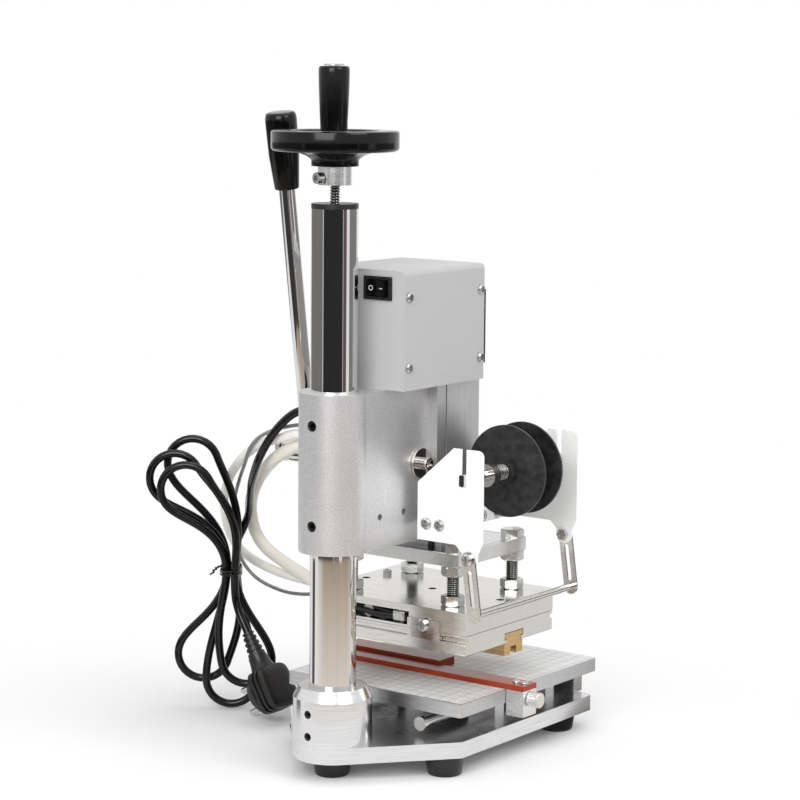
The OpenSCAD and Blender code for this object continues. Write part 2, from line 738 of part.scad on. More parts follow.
module rail_outline(x, play) {
    span([x - rail_neck_w / 2 - play, -rail_neck_t - play], [x + rail_neck_w / 2 + play, 1]);
    span([x - rail_head_w / 2 - play, -rail_neck_t - rail_head_t - play],
        [x + rail_head_w / 2 + play, -rail_neck_t + play]);
}
module guide_plate() {
    half = slide_w / 2 - 0.5;
    color("gainsboro") difference() {
        union() {
            box_at([-half, rail_y, head_z], [half, guide_y, head_top - 0.5]);
            for (x = [-rail_x, rail_x])
                translate([0, rail_y, head_z]) linear_extrude(head_h - 0.5) rail_outline(x, 0);
        }
        box_at([-rack_slot_w / 2, rail_y - eps, rack_z0 - ram_stroke - 4],
            [rack_slot_w / 2, guide_y + eps, rack_z1 + 4]);
        for (p = head_plate_screws) {
            bar_y(m6[0] + 2 * screw_fit, rail_y - eps, guide_y + eps, p[0], p[1]);
            bar_y(m6[1] + 1, rail_y - 12, guide_y - guide_t + m6[2] + 0.5, p[0], p[1]);
        }
    }
}
module shaft_bushes() {
    color("peru") for (x = [-block_w / 2 + 0.1, block_w / 2 - 0.1 - bush_len])
        difference() {
            bar_x(bush_d, x, x + bush_len, pivot_y, pivot_z);
            bar_x(shaft_d + 2 * running_fit, x - eps, x + bush_len + eps, pivot_y, pivot_z);
        }
}
module return_spring() {
    color("darkgray") translate([block_w / 2 + 0.5, pivot_y, pivot_z])
        rotate([0, 0, 90]) tube(return_path, spring_wire, 6);
}

// Control box
module box_section(inset, low) {
    half = box_w / 2 - inset;
    top = box_top - inset;
    r = bend_r - inset;
    span([-half, low], [half, top - r]);
    span([-half + r, head_top], [half - r, top]);
    for (x = [-half + r, half - r])
        translate([x, top - r]) circle(r);
}
module box_cover() {
    color("whitesmoke") difference() {
        plate_xz(box_rear, box_l) difference() {
            box_section(0, head_top);
            box_section(sheet_t, head_top - 1);
        }
        for (y = side_screw_y)
            for (z = side_screw_z)
                bar_x(m4[0] + 2 * screw_fit, -box_w, box_w, y, z);
    }
}
module box_base() {
    half = box_w / 2 - sheet_t - screw_fit;
    panel_top = box_top - sheet_t - screw_fit;
    switch_hole = [switch_body[0] / 2 + screw_fit, switch_body[1] / 2 + screw_fit];
    panel_hole = [controller_body[0] / 2 + screw_fit, controller_body[1] / 2 + screw_fit];
    color("whitesmoke") difference() {
        union() {
            box_at([-half, box_front, head_top], [half, box_rear, head_top + sheet_t]);
            for (y = [box_rear, box_front + sheet_t])
                plate_xz(y, sheet_t) box_section(sheet_t + screw_fit, head_top);
            for (side = [-half, half - sheet_t])
                for (y = [box_rear - flange_w, box_front])
                    box_at([side, y, head_top], [side + sheet_t, y + flange_w, panel_top - bend_r]);
        }
        for (y = side_screw_y)
            for (z = side_screw_z)
                bar_x(m4[0] + 2 * screw_fit, -box_w, box_w, y, z);
        for (y = box_screw_y)
            bar_z(m5[0] + 2 * screw_fit, head_top - eps, head_top + 5, 0, y);
        translate([switch_x, box_rear, switch_z])
            box_at([-switch_hole[0], -5, -switch_hole[1]], [switch_hole[0], 1, switch_hole[1]]);
        translate([0, box_front, controller_z])
            box_at([-panel_hole[0], -1, -panel_hole[1]], [panel_hole[0], 5, panel_hole[1]]);
    }
}
module box_screws() {
    color("silver") {
        for (y = side_screw_y)
            for (z = side_screw_z) {
                facing_left([-box_w / 2, y, z]) pan_screw(m4, 8);
                facing_right([box_w / 2, y, z]) pan_screw(m4, 8);
            }
        for (y = box_screw_y)
            translate([0, y, head_top + sheet_t]) pan_screw([m5[0], m5[1], 3], 11);
    }
}
module temperature_controller() {
    w = controller_body[0] / 2;
    h = controller_body[1] / 2;
    color("#26272a") {
        difference() {
            box_at([-bezel_size[0] / 2, box_front - bezel_t, controller_z - bezel_size[1] / 2],
                [bezel_size[0] / 2, box_front, controller_z + bezel_size[1] / 2]);
            box_at([-w + 4, box_front - bezel_t - 1, controller_z - h + 4],
                [w - 4, box_front - 2, controller_z + h - 4]);
        }
        box_at([-w, box_front - eps, controller_z - h], [w, box_front + controller_body[2], controller_z + h]);
        for (x = [-18, -6, 6, 18])
            facing_front([x, box_front - 2, controller_z - 14]) cylinder(d = 7, h = 1.6);
    }
}
module control_board() {
    half = board_size[0] / 2;
    y0 = board_y - board_size[1];
    top = board_z + board_size[2];
    color("seagreen") {
        difference() {
            box_at([-half, y0, board_z], [half, board_y, top]);
            bar_z(12, board_z - 1, top + 1, 0, box_screw_y[0]);
        }
        for (x = [-half + 5, half - 5])
            for (y = [y0 + 5, board_y - 5])
                bar_z(6, head_top + sheet_t, board_z + eps, x, y);
        box_at([-half + 12, y0 + 14, top - eps], [-half + 28, y0 + 30, top + 14]);
        box_at([half - 28, y0 + 16, top - eps], [half - 10, y0 + 30, top + 11]);
    }
}
module switch_housing() {
    w = switch_body[0] / 2;
    h = switch_body[1] / 2;
    color("#19191a") translate([switch_x, 0, switch_z]) difference() {
        union() {
            box_at([-switch_size[0] / 2, box_rear, -switch_size[1] / 2],
                [switch_size[0] / 2, box_rear + 2, switch_size[1] / 2]);
            box_at([-w, box_rear - switch_body[2], -h], [w, box_rear + eps, h]);
        }
        box_at([-rocker_opening[0] / 2, box_rear - 12, -rocker_opening[1] / 2],
            [rocker_opening[0] / 2, box_rear + 3, rocker_opening[1] / 2]);
        bar_z(rocker_pin_d + 2 * running_fit, -h - eps, h + eps, 0, rocker_y);
    }
}
module rocker() {
    w = rocker_size[0] / 2;
    h = rocker_size[1] / 2;
    pin = switch_body[1] / 2 - 0.1;
    color("#111112") translate([switch_x, rocker_y, switch_z]) {
        rotate([0, 0, -7]) translate([0, 0, -h]) linear_extrude(2 * h)
            polygon([[-w, -5], [w, -5], [w, 3.2], [0, 2], [-w, 3.2]]);
        bar_z(rocker_pin_d, -pin, pin, 0, 0);
    }
}
gland_d = [15, 9.6];
gland_len = 24.5;
outlets = [[white_run[0], white_d], [cream_run[0], cream_d], [braid_run[0], braid_d]];
module cable_glands() {
    x = outlet_hi[0];
    color("#1c1c1d") {
        translate([outlet_lo[0], 0, 0]) rotate([90, 0, 90]) linear_extrude(x - outlet_lo[0])
            round_span([outlet_lo[1], outlet_lo[2]], [outlet_hi[1], outlet_hi[2]], 4);
        translate([x - eps, lead_run[0][1], lead_run[0][2]]) rotate([0, 90, 0])
            cylinder(d1 = gland_d[0], d2 = gland_d[1], h = gland_len + eps);
    }
}

// Lever and its shaft
module lever_frame() { translate([lever_x, pivot_y, pivot_z]) rotate([-lever_lean, 0, 0]) children(); }
module lever_hub() {
    color("silver") difference() {
        union() {
            bar_x(lever_hub_d, hub_x0, hub_x1 - 6, pivot_y, pivot_z);
            bar_x(lever_hub_d - 3, hub_x1 - 6 - eps, hub_x1, pivot_y, pivot_z);
        }
        bar_x(shaft_d + 2 * screw_fit, hub_x0 - 1, hub_x1 + 1, pivot_y, pivot_z);
        lever_frame() translate([0, 0, shaft_d / 2]) cylinder(d = rod_d + 2 * screw_fit, h = lever_hub_d);
    }
}
module lever_rod() {
    color("gainsboro") lever_frame() {
        translate([0, 0, rod_seat_r]) cylinder(d = rod_d, h = rod_len - rod_seat_r);
        translate([0, 0, rod_len - eps]) cylinder(d = spigot_d, h = grip_len * 0.6);
    }
}
module lever_grip() {
    r = grip_d / 2;
    bore = spigot_d / 2 + screw_fit;
    deep = grip_len * 0.6 + 0.3;
    color("#141415") lever_frame() translate([0, 0, rod_len]) rotate_extrude() polygon([
        [bore, 0], [r * 0.74, 0], [r * 0.77, 1], [r * 0.965, grip_len * 0.45], [r, grip_len - 7],
        [r, grip_len - 4], [r * 0.95, grip_len - 1.6], [r * 0.84, grip_len - 0.4], [r * 0.7, grip_len],
        [0, grip_len], [0, deep], [bore, deep]]);
}
module pivot_shaft() {
    color("darkgray") difference() {
        bar_x(shaft_d, -block_w / 2 - 0.1, shaft_end, pivot_y, pivot_z);
        bar_x(m8[0] + 2 * screw_fit, -block_w / 2 - 1, -block_w / 2 + 17, pivot_y, pivot_z);
        bar_x(m6[0] + 2 * screw_fit, shaft_end - 13, shaft_end + 1, pivot_y, pivot_z);
    }
}
function involute(r, a) = r * [cos(a) + a * PI / 180 * sin(a), sin(a) - a * PI / 180 * cos(a)];
function turned(p, a) = [p[0] * cos(a) - p[1] * sin(a), p[0] * sin(a) + p[1] * cos(a)];
module pinion_outline() {
    base_r = pinion_r * cos(pressure_angle);
    root_r = pinion_r - 1.25 * gear_module;
    roll_tip = sqrt(pow(pinion_tip_r / base_r, 2) - 1) * 180 / PI;
    roll_pitch = tan(pressure_angle) * 180 / PI;
    half = 90 / pinion_teeth - gear_play / pinion_r * 90 / PI + roll_pitch - pressure_angle;
    flank = [for (k = [0:5]) turned(involute(base_r, roll_tip * k / 5), -half)];
    tooth = concat([(root_r - 0.3) * [cos(half), -sin(half)]], flank,
        [for (k = [5:-1:0]) [flank[k][0], -flank[k][1]]], [(root_r - 0.3) * [cos(half), sin(half)]]);
    circle(root_r, $fn = 60);
    for (k = [0:pinion_teeth - 1])
        rotate(180 + 360 * k / pinion_teeth) polygon(tooth);
}
module pinion() {
    color("dimgray") difference() {
        translate([0, pivot_y, pivot_z]) prism_x(-pinion_w / 2, pinion_w / 2) pinion_outline();
        bar_x(shaft_d + 2 * screw_fit, -pinion_w, pinion_w, pivot_y, pivot_z);
    }
}
module shaft_end_fixings() {
    left = -block_w / 2 - 0.4;
    color("silver") {
        difference() {
            bar_x(bush_d + 3, left - washer_t, left, pivot_y, pivot_z);
            bar_x(m8[0] + 2 * screw_fit, left - washer_t - 1, left + 1, pivot_y, pivot_z);
        }
        facing_left([left - washer_t, pivot_y, pivot_z]) cap_screw([m8[0], 9.5, 7], 17);
        difference() {
            bar_x(lever_hub_d - 2, shaft_end, shaft_end + 4, pivot_y, pivot_z);
            bar_x(m6[0] + 2 * screw_fit, shaft_end - 1, shaft_end + 5, pivot_y, pivot_z);
        }
        facing_right([shaft_end + 4, pivot_y, pivot_z]) cap_screw([m6[0], m6[1], 3.4], 15);
    }
}

// Ram
carriage_top = adjust_top + carriage_h;
rack_screw_z = [rack_z0 + 8, rack_z1 - 8];
crossbar_screw_y = [carriage_y - 15, carriage_front + 10];
plate_screws = [for (x = [-plate_screw_x, plate_screw_x]) for (y = plate_screw_y) [x, y]];
bolts_at = [for (x = [-bolt_x, bolt_x]) for (y = [-bolt_y, bolt_y]) [x, plate_y + y]];
module ram_carriage() {
    half = slide_w / 2;
    color("silver") difference() {
        box_at([-half, carriage_front, adjust_top], [half, carriage_y, carriage_top]);
        for (x = [-rail_x, rail_x])
            translate([0, rail_y, adjust_top - 1]) linear_extrude(carriage_h + 2) rail_outline(x, slide_gap);
        for (z = rack_screw_z)
            bar_y(m5[0] + 2 * screw_fit, carriage_y - 16, carriage_y + 1, 0, z);
        for (y = crossbar_screw_y)
            bar_x(m5[0] + 2 * screw_fit, -half - 1, -half + 10, y, ear_screw_z);
        for (p = plate_screws)
            bar_z(m6[0] + 2 * screw_fit, adjust_top - 1, adjust_top + 14, p[0], p[1]);
    }
}
module rack_outline() {
    pitch = PI * gear_module;
    low = pitch / 4 - gear_play / 2 + 1.25 * gear_module * tan(pressure_angle);
    high = pitch / 4 - gear_play / 2 - gear_module * tan(pressure_angle);
    first = ceil((rack_z0 - pivot_z + low) / pitch - 0.5);
    last = floor((rack_z1 - pivot_z - low) / pitch - 0.5);
    span([carriage_y, rack_z0], [rack_root_y, rack_z1]);
    for (k = [first:last])
        translate([rack_root_y, pivot_z + (k + 0.5) * pitch])
            polygon([[-0.2, -low], [0, -low], [2.25 * gear_module, -high], [2.25 * gear_module, high],
                [0, low], [-0.2, low]]);
}
module rack() {
    color("dimgray") difference() {
        prism_x(-pinion_w / 2, pinion_w / 2) rack_outline();
        for (z = rack_screw_z)
            bar_y(m5[0] + 2 * screw_fit, carriage_y - 1, rack_y + 5, 0, z);
        for (z = rack_screw_z)
            bar_y(m5[1] + 0.6, carriage_y + 2.5, rack_y + 5, 0, z);
    }
}
module adjusting_plate() {
    color("gainsboro") difference() {
        translate([0, 0, adjust_z]) linear_extrude(adjust_t)
            round_span([-adjust_w / 2, plate_y - adjust_l / 2], [adjust_w / 2, plate_y + adjust_l / 2], 3);
        for (p = bolts_at)
            bar_z(bolt_d + 2 * screw_fit, adjust_z - 1, adjust_top + 1, p[0], p[1]);
        for (p = plate_screws) {
            bar_z(m6[0] + 2 * screw_fit, adjust_z - 1, adjust_top + 1, p[0], p[1]);
            bar_z(m6[1] + 1, adjust_z - 1, adjust_z + m6[2] + 0.4, p[0], p[1]);
        }
    }
}
module hex_nut(z) {
    translate([0, 0, z]) difference() {
        cylinder(d = bolt_af / cos(30), h = nut_t, $fn = 6);
        translate([0, 0, -1]) cylinder(d = bolt_d + 2 * screw_fit, h = nut_t + 2);
    }
}
module adjusting_bolts() {
    color("lightgray") for (p = bolts_at)
        translate(p) {
            translate([0, 0, adjust_top]) cylinder(d = bolt_af / cos(30), h = bolt_head_h, $fn = 6);
            translate([0, 0, heater_top - bolt_seat])
                cylinder(d = bolt_d, h = adjust_top - heater_top + bolt_seat + eps);
            hex_nut(adjust_z - nut_t);
            hex_nut(heater_top);
        }
}
module plate_slab(z, t, inset = 0) {
    translate([0, 0, z]) linear_extrude(t)
        span([-heater_w / 2, heater_front + inset], [heater_w / 2, heater_rear - inset]);
}
module at_latches() {
    translate([-latch_x, heater_rear, 0]) children();
    for (x = [-latch_x, latch_x])
        translate([x, heater_front, 0]) rotate([0, 0, 180]) children();
}
module heater_block() {
    color("#b9b3a8") difference() {
        plate_slab(heater_z, heater_t);
        box_at([pocket_x0, heater_rear - pocket_depth, pocket_z0], [pocket_x1, heater_rear + 1, pocket_z1]);
        for (x = cartridge_x)
            bar_y(cartridge_d + 2 * screw_fit, heater_rear - pocket_depth - cartridge_len, heater_rear,
                x, cartridge_z);
        for (p = heater_holes)
            bar_z(heater_hole_d, heater_top - 9, heater_top + 1, p[0], plate_y + p[1]);
        bar_z(heater_screw_size[0] + 2 * screw_fit, heater_top - 9, heater_top + 1, heater_screw[0],
            heater_screw[1]);
        for (p = bolts_at)
            bar_z(bolt_d + 2 * screw_fit, heater_top - bolt_seat - 0.5, heater_top + 1, p[0], p[1]);
        at_latches() bar_y(m4[0] + 2 * screw_fit, -9, 1, 0, latch_screw_z);
    }
}
module heater_cartridges() {
    color("darkkhaki") for (x = cartridge_x)
        bar_y(cartridge_d, heater_rear - pocket_depth - cartridge_len + 1, heater_rear - 4, x, cartridge_z);
}
module die_latch() {
    color("gainsboro") at_latches() difference() {
        union() {
            box_at([-latch_w / 2, 0, latch_z], [latch_w / 2, latch_t, latch_z + latch_h]);
            box_at([-latch_w / 2, -lip_l, groove_z - lip_h / 2], [latch_w / 2, eps, groove_z + lip_h / 2]);
        }
        bar_y(m4[0] + 2 * screw_fit, -9, latch_t + 1, 0, latch_screw_z);
    }
}
module foil_crossbar() {
    outer = ear_x - crossbar_w;
    color("gainsboro") difference() {
        box_at([outer, ear_front, crossbar_z], [ear_x, ear_rear - ear_t, crossbar_z + crossbar_h]);
        for (x = ear_screw_x)
            for (y = [ear_front - 1, ear_rear - ear_t - 11])
                bar_y(m5[0] + 2 * screw_fit, y, y + 12, x, ear_screw_z);
        for (y = crossbar_screw_y) {
            bar_x(m5[0] + 2 * screw_fit, outer - 1, ear_x + 1, y, ear_screw_z);
            bar_x(crossbar_h - 0.4, outer - 1, outer + m5[2] + 0.6, y, ear_screw_z);
        }
    }
}
module ear_outline() {
    corner_r = 5;
    outer = ear_x - 60;
    slot_x = spool_x - ear_slot_w / 2;
    low = crossbar_z - 8.5;
    difference() {
        union() {
            polygon([[ear_x, low], [ear_x, low + 44], [ear_x - 33, ear_top], [outer + corner_r, ear_top],
                [outer, ear_top - corner_r], [outer, low + 3], [tab_x - tab_w / 2, tab_z + 4],
                [tab_x + tab_w / 2, tab_z + 4], [tab_x + tab_w / 2 + 6, low]]);
            translate([outer + corner_r, ear_top - corner_r]) circle(corner_r);
            span([tab_x - tab_w / 2, tab_z - 1], [tab_x + tab_w / 2, tab_z + 5]);
            translate([tab_x, tab_z]) circle(tab_w / 2);
        }
        span([slot_x, ear_slot_z], [slot_x + ear_slot_w, ear_top + 1]);
        translate([tab_x, tab_z]) circle(pivot_screw_d / 2 + screw_fit);
        for (x = ear_screw_x)
            translate([x, ear_screw_z]) circle(m5[0] / 2 + screw_fit);
    }
}
module foil_ears() {
    color("white") for (y = [ear_rear, ear_front])
        plate_xz(y, ear_t) ear_outline();
}
module pivot_screw(reach) {
    pan_screw([pivot_screw_d, 9.5, 3], reach);
    translate([0, 0, -reach - 0.4]) difference() {
        cylinder(d = 9, h = 3.4, $fn = 6);
        translate([0, 0, -1]) cylinder(d = pivot_screw_d + 2 * screw_fit, h = 6);
    }
}
module ram_screws() {
    pan5 = [m5[0], 9, 3];
    reach = slide_gap * 2 + link_t + ear_t + 3.4;
    color("silver") {
        for (x = ear_screw_x) {
            facing_rear([x, ear_rear, ear_screw_z]) pan_screw(pan5, 10);
            facing_front([x, ear_front - ear_t, ear_screw_z]) pan_screw(pan5, 10);
        }
        facing_rear([tab_x, ear_rear + 2 * slide_gap + link_t, tab_z]) pivot_screw(reach);
        facing_front([tab_x, ear_front - ear_t - 2 * slide_gap - link_t, tab_z]) pivot_screw(reach);
        for (y = crossbar_screw_y)
            facing_left([ear_x - crossbar_w + m5[2] + 0.5, y, ear_screw_z]) cap_screw([m5[0], 8.2, m5[2]], 28);
        for (z = rack_screw_z)
            facing_rear([0, carriage_y + 2.5, z]) cap_screw([m5[0], m5[1], 3], 17);
        for (p = plate_screws)
            facing_down([p[0], p[1], adjust_z + m6[2] + 0.4]) cap_screw(m6, adjust_t - m6[2] + 12);
        at_latches() facing_rear([0, latch_t, latch_screw_z]) pan_screw([m4[0], latch_screw_head, m4[2]], 10);
        translate([heater_screw[0], heater_screw[1], heater_top]) cap_screw(heater_screw_size, 8);
    }
}
module spool_shaft() {
    rear = ear_rear + 3;
    front = ear_front - ear_t - 3;
    color("silver") difference() {
        union() {
            bar_y(spool_d, front, rear, spool_x, spool_z);
            bar_y(spool_collar_d, spool_collar_y - spool_collar_w, spool_collar_y, spool_x, spool_z);
        }
        for (y = [[ear_rear - ear_t - 0.4, rear + 1], [front - 1, ear_front + 0.4]])
            for (x = [spool_x - spool_d, spool_x + spool_flat / 2])
                box_at([x, y[0], spool_z - spool_d], [x + spool_d - spool_flat / 2, y[1], spool_z + spool_d]);
    }
}
module spool_spring() {
    color("silver") translate([spool_x, spool_collar_y - spool_collar_w - slide_gap, spool_z])
        tube(spool_path, spool_wire, 6);
}
module spool_discs() {
    color("#18181a") difference() {
        union() {
            bar_y(disc_d, disc_rear_y - disc_t, disc_rear_y, spool_x, spool_z, $fn = 96);
            bar_y(disc_boss_d, disc_rear_y - eps, disc_rear_y + disc_boss_h, spool_x, spool_z);
            bar_y(disc_d, disc_front_y - disc_t, disc_front_y, spool_x, spool_z, $fn = 96);
            bar_y(disc_boss_d, disc_front_y - disc_t - disc_boss_h, disc_front_y - disc_t + eps,
                spool_x, spool_z);
        }
        bar_y(spool_d + 2 * running_fit, disc_front_y - 20, disc_rear_y + 20, spool_x, spool_z);
    }
}
module link_outline() {
    pivot = [tab_x, tab_z];
    reach = link_at - pivot;
    turn = atan2(reach[1], reach[0]);
    long = norm(reach);
    slot = long * [0.24, 0.84];
    slot_r = 1.9;
    difference() {
        translate(pivot) rotate(turn) {
            span([0, -link_w / 2], [long, link_w / 2]);
            circle(link_w / 2);
            translate([long, 0]) circle(link_w / 2);
        }
        translate(pivot) circle(pivot_screw_d / 2 + running_fit);
        translate(pivot) rotate(turn) {
            span([slot[0], -slot_r], [slot[1], slot_r]);
            for (x = slot)
                translate([x, 0]) circle(slot_r);
        }
    }
}
module foil_guide() {
    rear = ear_rear + slide_gap;
    front = ear_front - ear_t - slide_gap;
    color("whitesmoke") {
        plate_xz(rear + link_t, link_t) link_outline();
        plate_xz(front, link_t) link_outline();
        bar_y(foil_bar_d, front - eps, rear + eps, link_at[0], link_at[1]);
    }
}

// Die plate and type holder
module die_plate() {
    depth = die_t - holder_seat;
    slot = holder_w / 2 + slide_gap;
    edge = heater_l / 2;
    color("#c2bdb2") difference() {
        plate_slab(die_z, die_t, slide_gap);
        for (s = [0, 180])
            translate([0, plate_y, 0]) rotate([0, 0, s]) prism_x(-heater_w, heater_w)
                polygon([[edge + 1, groove_z - groove_h / 2], [edge + 1, groove_z + groove_h / 2],
                    [edge - groove_depth, groove_z + groove_h / 2 - 0.8],
                    [edge - groove_depth, groove_z - groove_h / 2 + 0.8]]);
        box_at([-heater_w, t_slot_y - slot, die_z + t_lip], [heater_w, t_slot_y + slot, die_z + depth]);
        box_at([-heater_w, t_slot_y - slot + t_lip, die_z - 1],
            [heater_w, t_slot_y + slot - t_lip, die_z + t_lip + eps]);
    }
}
holder_seat = die_t - t_lip - t_head_h - 2 * slide_gap;
module type_holder() {
    half = holder_len / 2;
    w = holder_w / 2;
    neck = w - t_lip;
    head = die_z + t_lip + slide_gap;
    color("goldenrod") difference() {
        union() {
            box_at([-half, t_slot_y - w, holder_z], [half, t_slot_y + w, die_z - slide_gap]);
            box_at([-half, t_slot_y - neck, die_z - slide_gap - eps], [half, t_slot_y + neck, head + eps]);
            box_at([-half, t_slot_y - w, head], [half, t_slot_y + w, head + t_head_h]);
        }
        box_at([-half - 1, t_slot_y - type_groove[0] / 2, holder_z - 1],
            [half + 1, t_slot_y + type_groove[0] / 2, holder_z + type_groove[1]]);
    }
}

// Work table
bar_screw_x = [-58, 58];
module table_plate() {
    color("gainsboro") difference() {
        translate([0, 0, table_z]) linear_extrude(table_t)
            round_span([-table_w / 2, table_front], [table_w / 2, table_rear], 3);
        for (x = bar_screw_x) {
            bar_z(m6[0] + 2 * screw_fit, table_z - 1, table_top + 1, x, table_front + front_bar_t / 2);
            bar_z(m6[1] + 1, table_top - m6[2] - 0.5, table_top + 1, x, table_front + front_bar_t / 2);
        }
        for (x = stop_stud_x)
            bar_z(m4[0] + 2 * screw_fit, table_z - 1, table_top + 1, x, stop_y - stop_w / 2);
    }
}
module table_front_bar() {
    color("silver") difference() {
        box_at([-front_bar_w / 2, table_front, deck_z + slide_gap], [front_bar_w / 2, front_bar_y, table_z]);
        for (x = [-guide_x, guide_x])
            bar_y(guide_rod_d + 2 * screw_fit, front_bar_y - rod_seat - 0.5, front_bar_y + 1, x, guide_z);
        for (x = bar_screw_x)
            bar_z(m6[0] + 2 * screw_fit, table_z - 12, table_z + 1, x, table_front + front_bar_t / 2);
    }
}
module guide_rods() {
    color("lightgray") for (x = [-guide_x, guide_x]) {
        bar_y(guide_rod_d, front_bar_y - rod_seat, rod_rear, x, guide_z);
        bar_y(rod_head_d, rod_rear - rod_head_t, rod_rear + eps, x, guide_z);
    }
}
module table_screws() {
    color("#222224") {
        for (x = bar_screw_x)
            translate([x, table_front + front_bar_t / 2, table_top - m6[2] - 0.5])
                cap_screw(m6, table_t - m6[2] + 10);
        for (x = stop_stud_x) {
            bar_z(stop_stud_d, table_top, stop_top - stop_skin - slide_gap, x, stop_y - stop_w / 2);
            bar_z(m4[0], table_z + 1, table_top + eps, x, stop_y - stop_w / 2);
        }
    }
}
dowel_at = [for (x = [clamp_x0 + 4.5, clamp_x1 - 3.5]) [x, clamp_y]];
module fence_bar() {
    color("#7c2f1c") difference() {
        box_at([clamp_x0, fence_y - fence_w, rest_z], [clamp_x0 + fence_len, fence_y, rest_z + fence_t]);
        for (p = dowel_at)
            bar_z(dowel_d + 2 * screw_fit, rest_z - 1, rest_z + fence_t - 1, p[0], p[1]);
    }
}
module fence_clamp() {
    color("silver") difference() {
        union() {
            box_at([clamp_x0, clamp_y - clamp_w / 2, clamp_z], [clamp_x1, clamp_y + clamp_w / 2, rest_z]);
            for (p = dowel_at)
                bar_z(dowel_d, rest_z - eps, rest_z + fence_t - 1.5, p[0], p[1]);
        }
        bar_x(thumb_d + 2 * running_fit, clamp_x0 - 1, clamp_x1 + 1, clamp_y, thumb_z);
    }
}
module thumb_screw() {
    head = clamp_x0 - slide_gap;
    color("lightgray") {
        bar_x(thumb_d, head - eps, clamp_x1, clamp_y, thumb_z);
        bar_x(2 * thumb_d, head - 10, head, clamp_y, thumb_z);
    }
}
module slot_hole(d, x, z0, z1) {
    reach = stop_travel + 0.5;
    y = stop_y - stop_w / 2;
    box_at([x - reach, y - d / 2, z0], [x + reach, y + d / 2, z1]);
    for (s = [-reach, reach])
        bar_z(d, z0, z1, x + s, y);
}
module stop_bar() {
    color("#8a3820") difference() {
        box_at([stop_x0, stop_y - stop_w, rest_z], [stop_x1, stop_y, stop_top]);
        for (x = stop_stud_x)
            slot_hole(stop_stud_d + 2 * slide_gap, x, rest_z - 1, stop_top - stop_skin);
    }
}

// Cords
module power_cord() { color("#121213") tube(lead_path, cord_d, 8); }
module power_hank() { color("#121213") tube(hank(lobe_rings), cord_d, 6); }
module plug() {
    body = [37, 24];
    neck_d = [17, 9.6];
    pins = [4.8, 19, 19];
    at = slot(6) + plug_run[len(plug_run) - 1];
    color("#151516") translate(at) rotate([0, plug_tilt, 0]) translate([0, 0, -plug_neck]) {
        bar_x(body[0], -body[1] / 2, body[1] / 2 - 4, 0, 0);
        bar_x(body[0] - 3, body[1] / 2 - 4 - eps, body[1] / 2, 0, 0);
        box_at([-body[1] / 2, -9, 0], [body[1] / 2 - 5, 9, 24]);
        translate([-2, 0, 22]) cylinder(d = neck_d[0], h = 6);
        translate([0, 0, 26]) cylinder(d1 = neck_d[0] - 3, d2 = neck_d[1], h = plug_neck - 26);
        for (z = [-pins[2] / 2, pins[2] / 2])
            bar_x(pins[0], body[1] / 2 - eps, body[1] / 2 + pins[1], 0, z);
    }
}
module heater_leads() {
    color("white") tube(curve(white_run, 1), white_d, 8);
    color("beige") tube(curve(cream_run, 1), cream_d, 8);
    color("gray") tube(curve(braid_run, 2), braid_d, 8);
}

base_plate();
rubber_feet();
column_collar();
base_screws();
column();
column_cap();
table_guides();
lead_screw();
handwheel();
hub_clamp();
wheel_fixings();
wheel_handle();
head_block();
head_screws();
lead_nut();
guide_plate();
shaft_bushes();
return_spring();
box_base();
box_cover();
box_screws();
temperature_controller();
control_board();
switch_housing();
cable_glands();
rocker();
lever_hub();
lever_rod();
lever_grip();
pivot_shaft();
pinion();
shaft_end_fixings();
ram_carriage();
rack();
adjusting_plate();
adjusting_bolts();
heater_block();
heater_cartridges();
die_latch();
foil_crossbar();
foil_ears();
ram_screws();
spool_shaft();
spool_spring();
die_plate();
type_holder();
spool_discs();
foil_guide();
table_plate();
table_front_bar();
guide_rods();
table_screws();
fence_bar();
fence_clamp();
thumb_screw();
stop_bar();
power_cord();
power_hank();
plug();
heater_leads();
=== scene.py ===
# %% [markdown]
# # A bench hot foil stamping press
# The press arrives as exact solids: a column with a handwheel, a head that slides on it, a hand lever,
# a heated ram with its foil spool, and a sliding table. This lesson dresses those solids: it sets up the
# photographer's camera, lays the cords, makes the pieces that need finer shapes, and then gives every
# piece its real surface and light. Lengths are in millimetres until a mesh is made.

import math

import bpy
import numpy as np
from mathutils import Matrix, Vector


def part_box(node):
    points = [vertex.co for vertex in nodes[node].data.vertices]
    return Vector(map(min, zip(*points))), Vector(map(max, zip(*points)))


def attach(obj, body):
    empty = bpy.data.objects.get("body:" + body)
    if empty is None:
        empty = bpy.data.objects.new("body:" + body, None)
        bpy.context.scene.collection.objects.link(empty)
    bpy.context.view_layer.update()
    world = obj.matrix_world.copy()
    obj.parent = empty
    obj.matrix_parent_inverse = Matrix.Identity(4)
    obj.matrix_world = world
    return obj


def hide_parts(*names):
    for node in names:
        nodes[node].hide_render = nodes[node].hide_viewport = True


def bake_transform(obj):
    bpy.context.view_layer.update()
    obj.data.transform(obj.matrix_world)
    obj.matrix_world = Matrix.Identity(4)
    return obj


MM = 0.001
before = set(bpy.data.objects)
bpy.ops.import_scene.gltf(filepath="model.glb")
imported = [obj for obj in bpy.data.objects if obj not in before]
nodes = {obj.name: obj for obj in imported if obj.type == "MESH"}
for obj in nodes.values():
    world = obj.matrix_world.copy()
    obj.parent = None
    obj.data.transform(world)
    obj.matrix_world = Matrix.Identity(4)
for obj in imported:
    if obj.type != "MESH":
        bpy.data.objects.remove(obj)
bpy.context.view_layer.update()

# %% [markdown]
# ## Camera
# The photograph was taken from behind the machine, on its left, a little above it. Three angles, a place
# and a focal length describe that view. A camera could be moved by hand until it looks right, but these
# numbers were worked out from the straight edges of the base and of the control box, so that the render
# can be laid over the photograph.

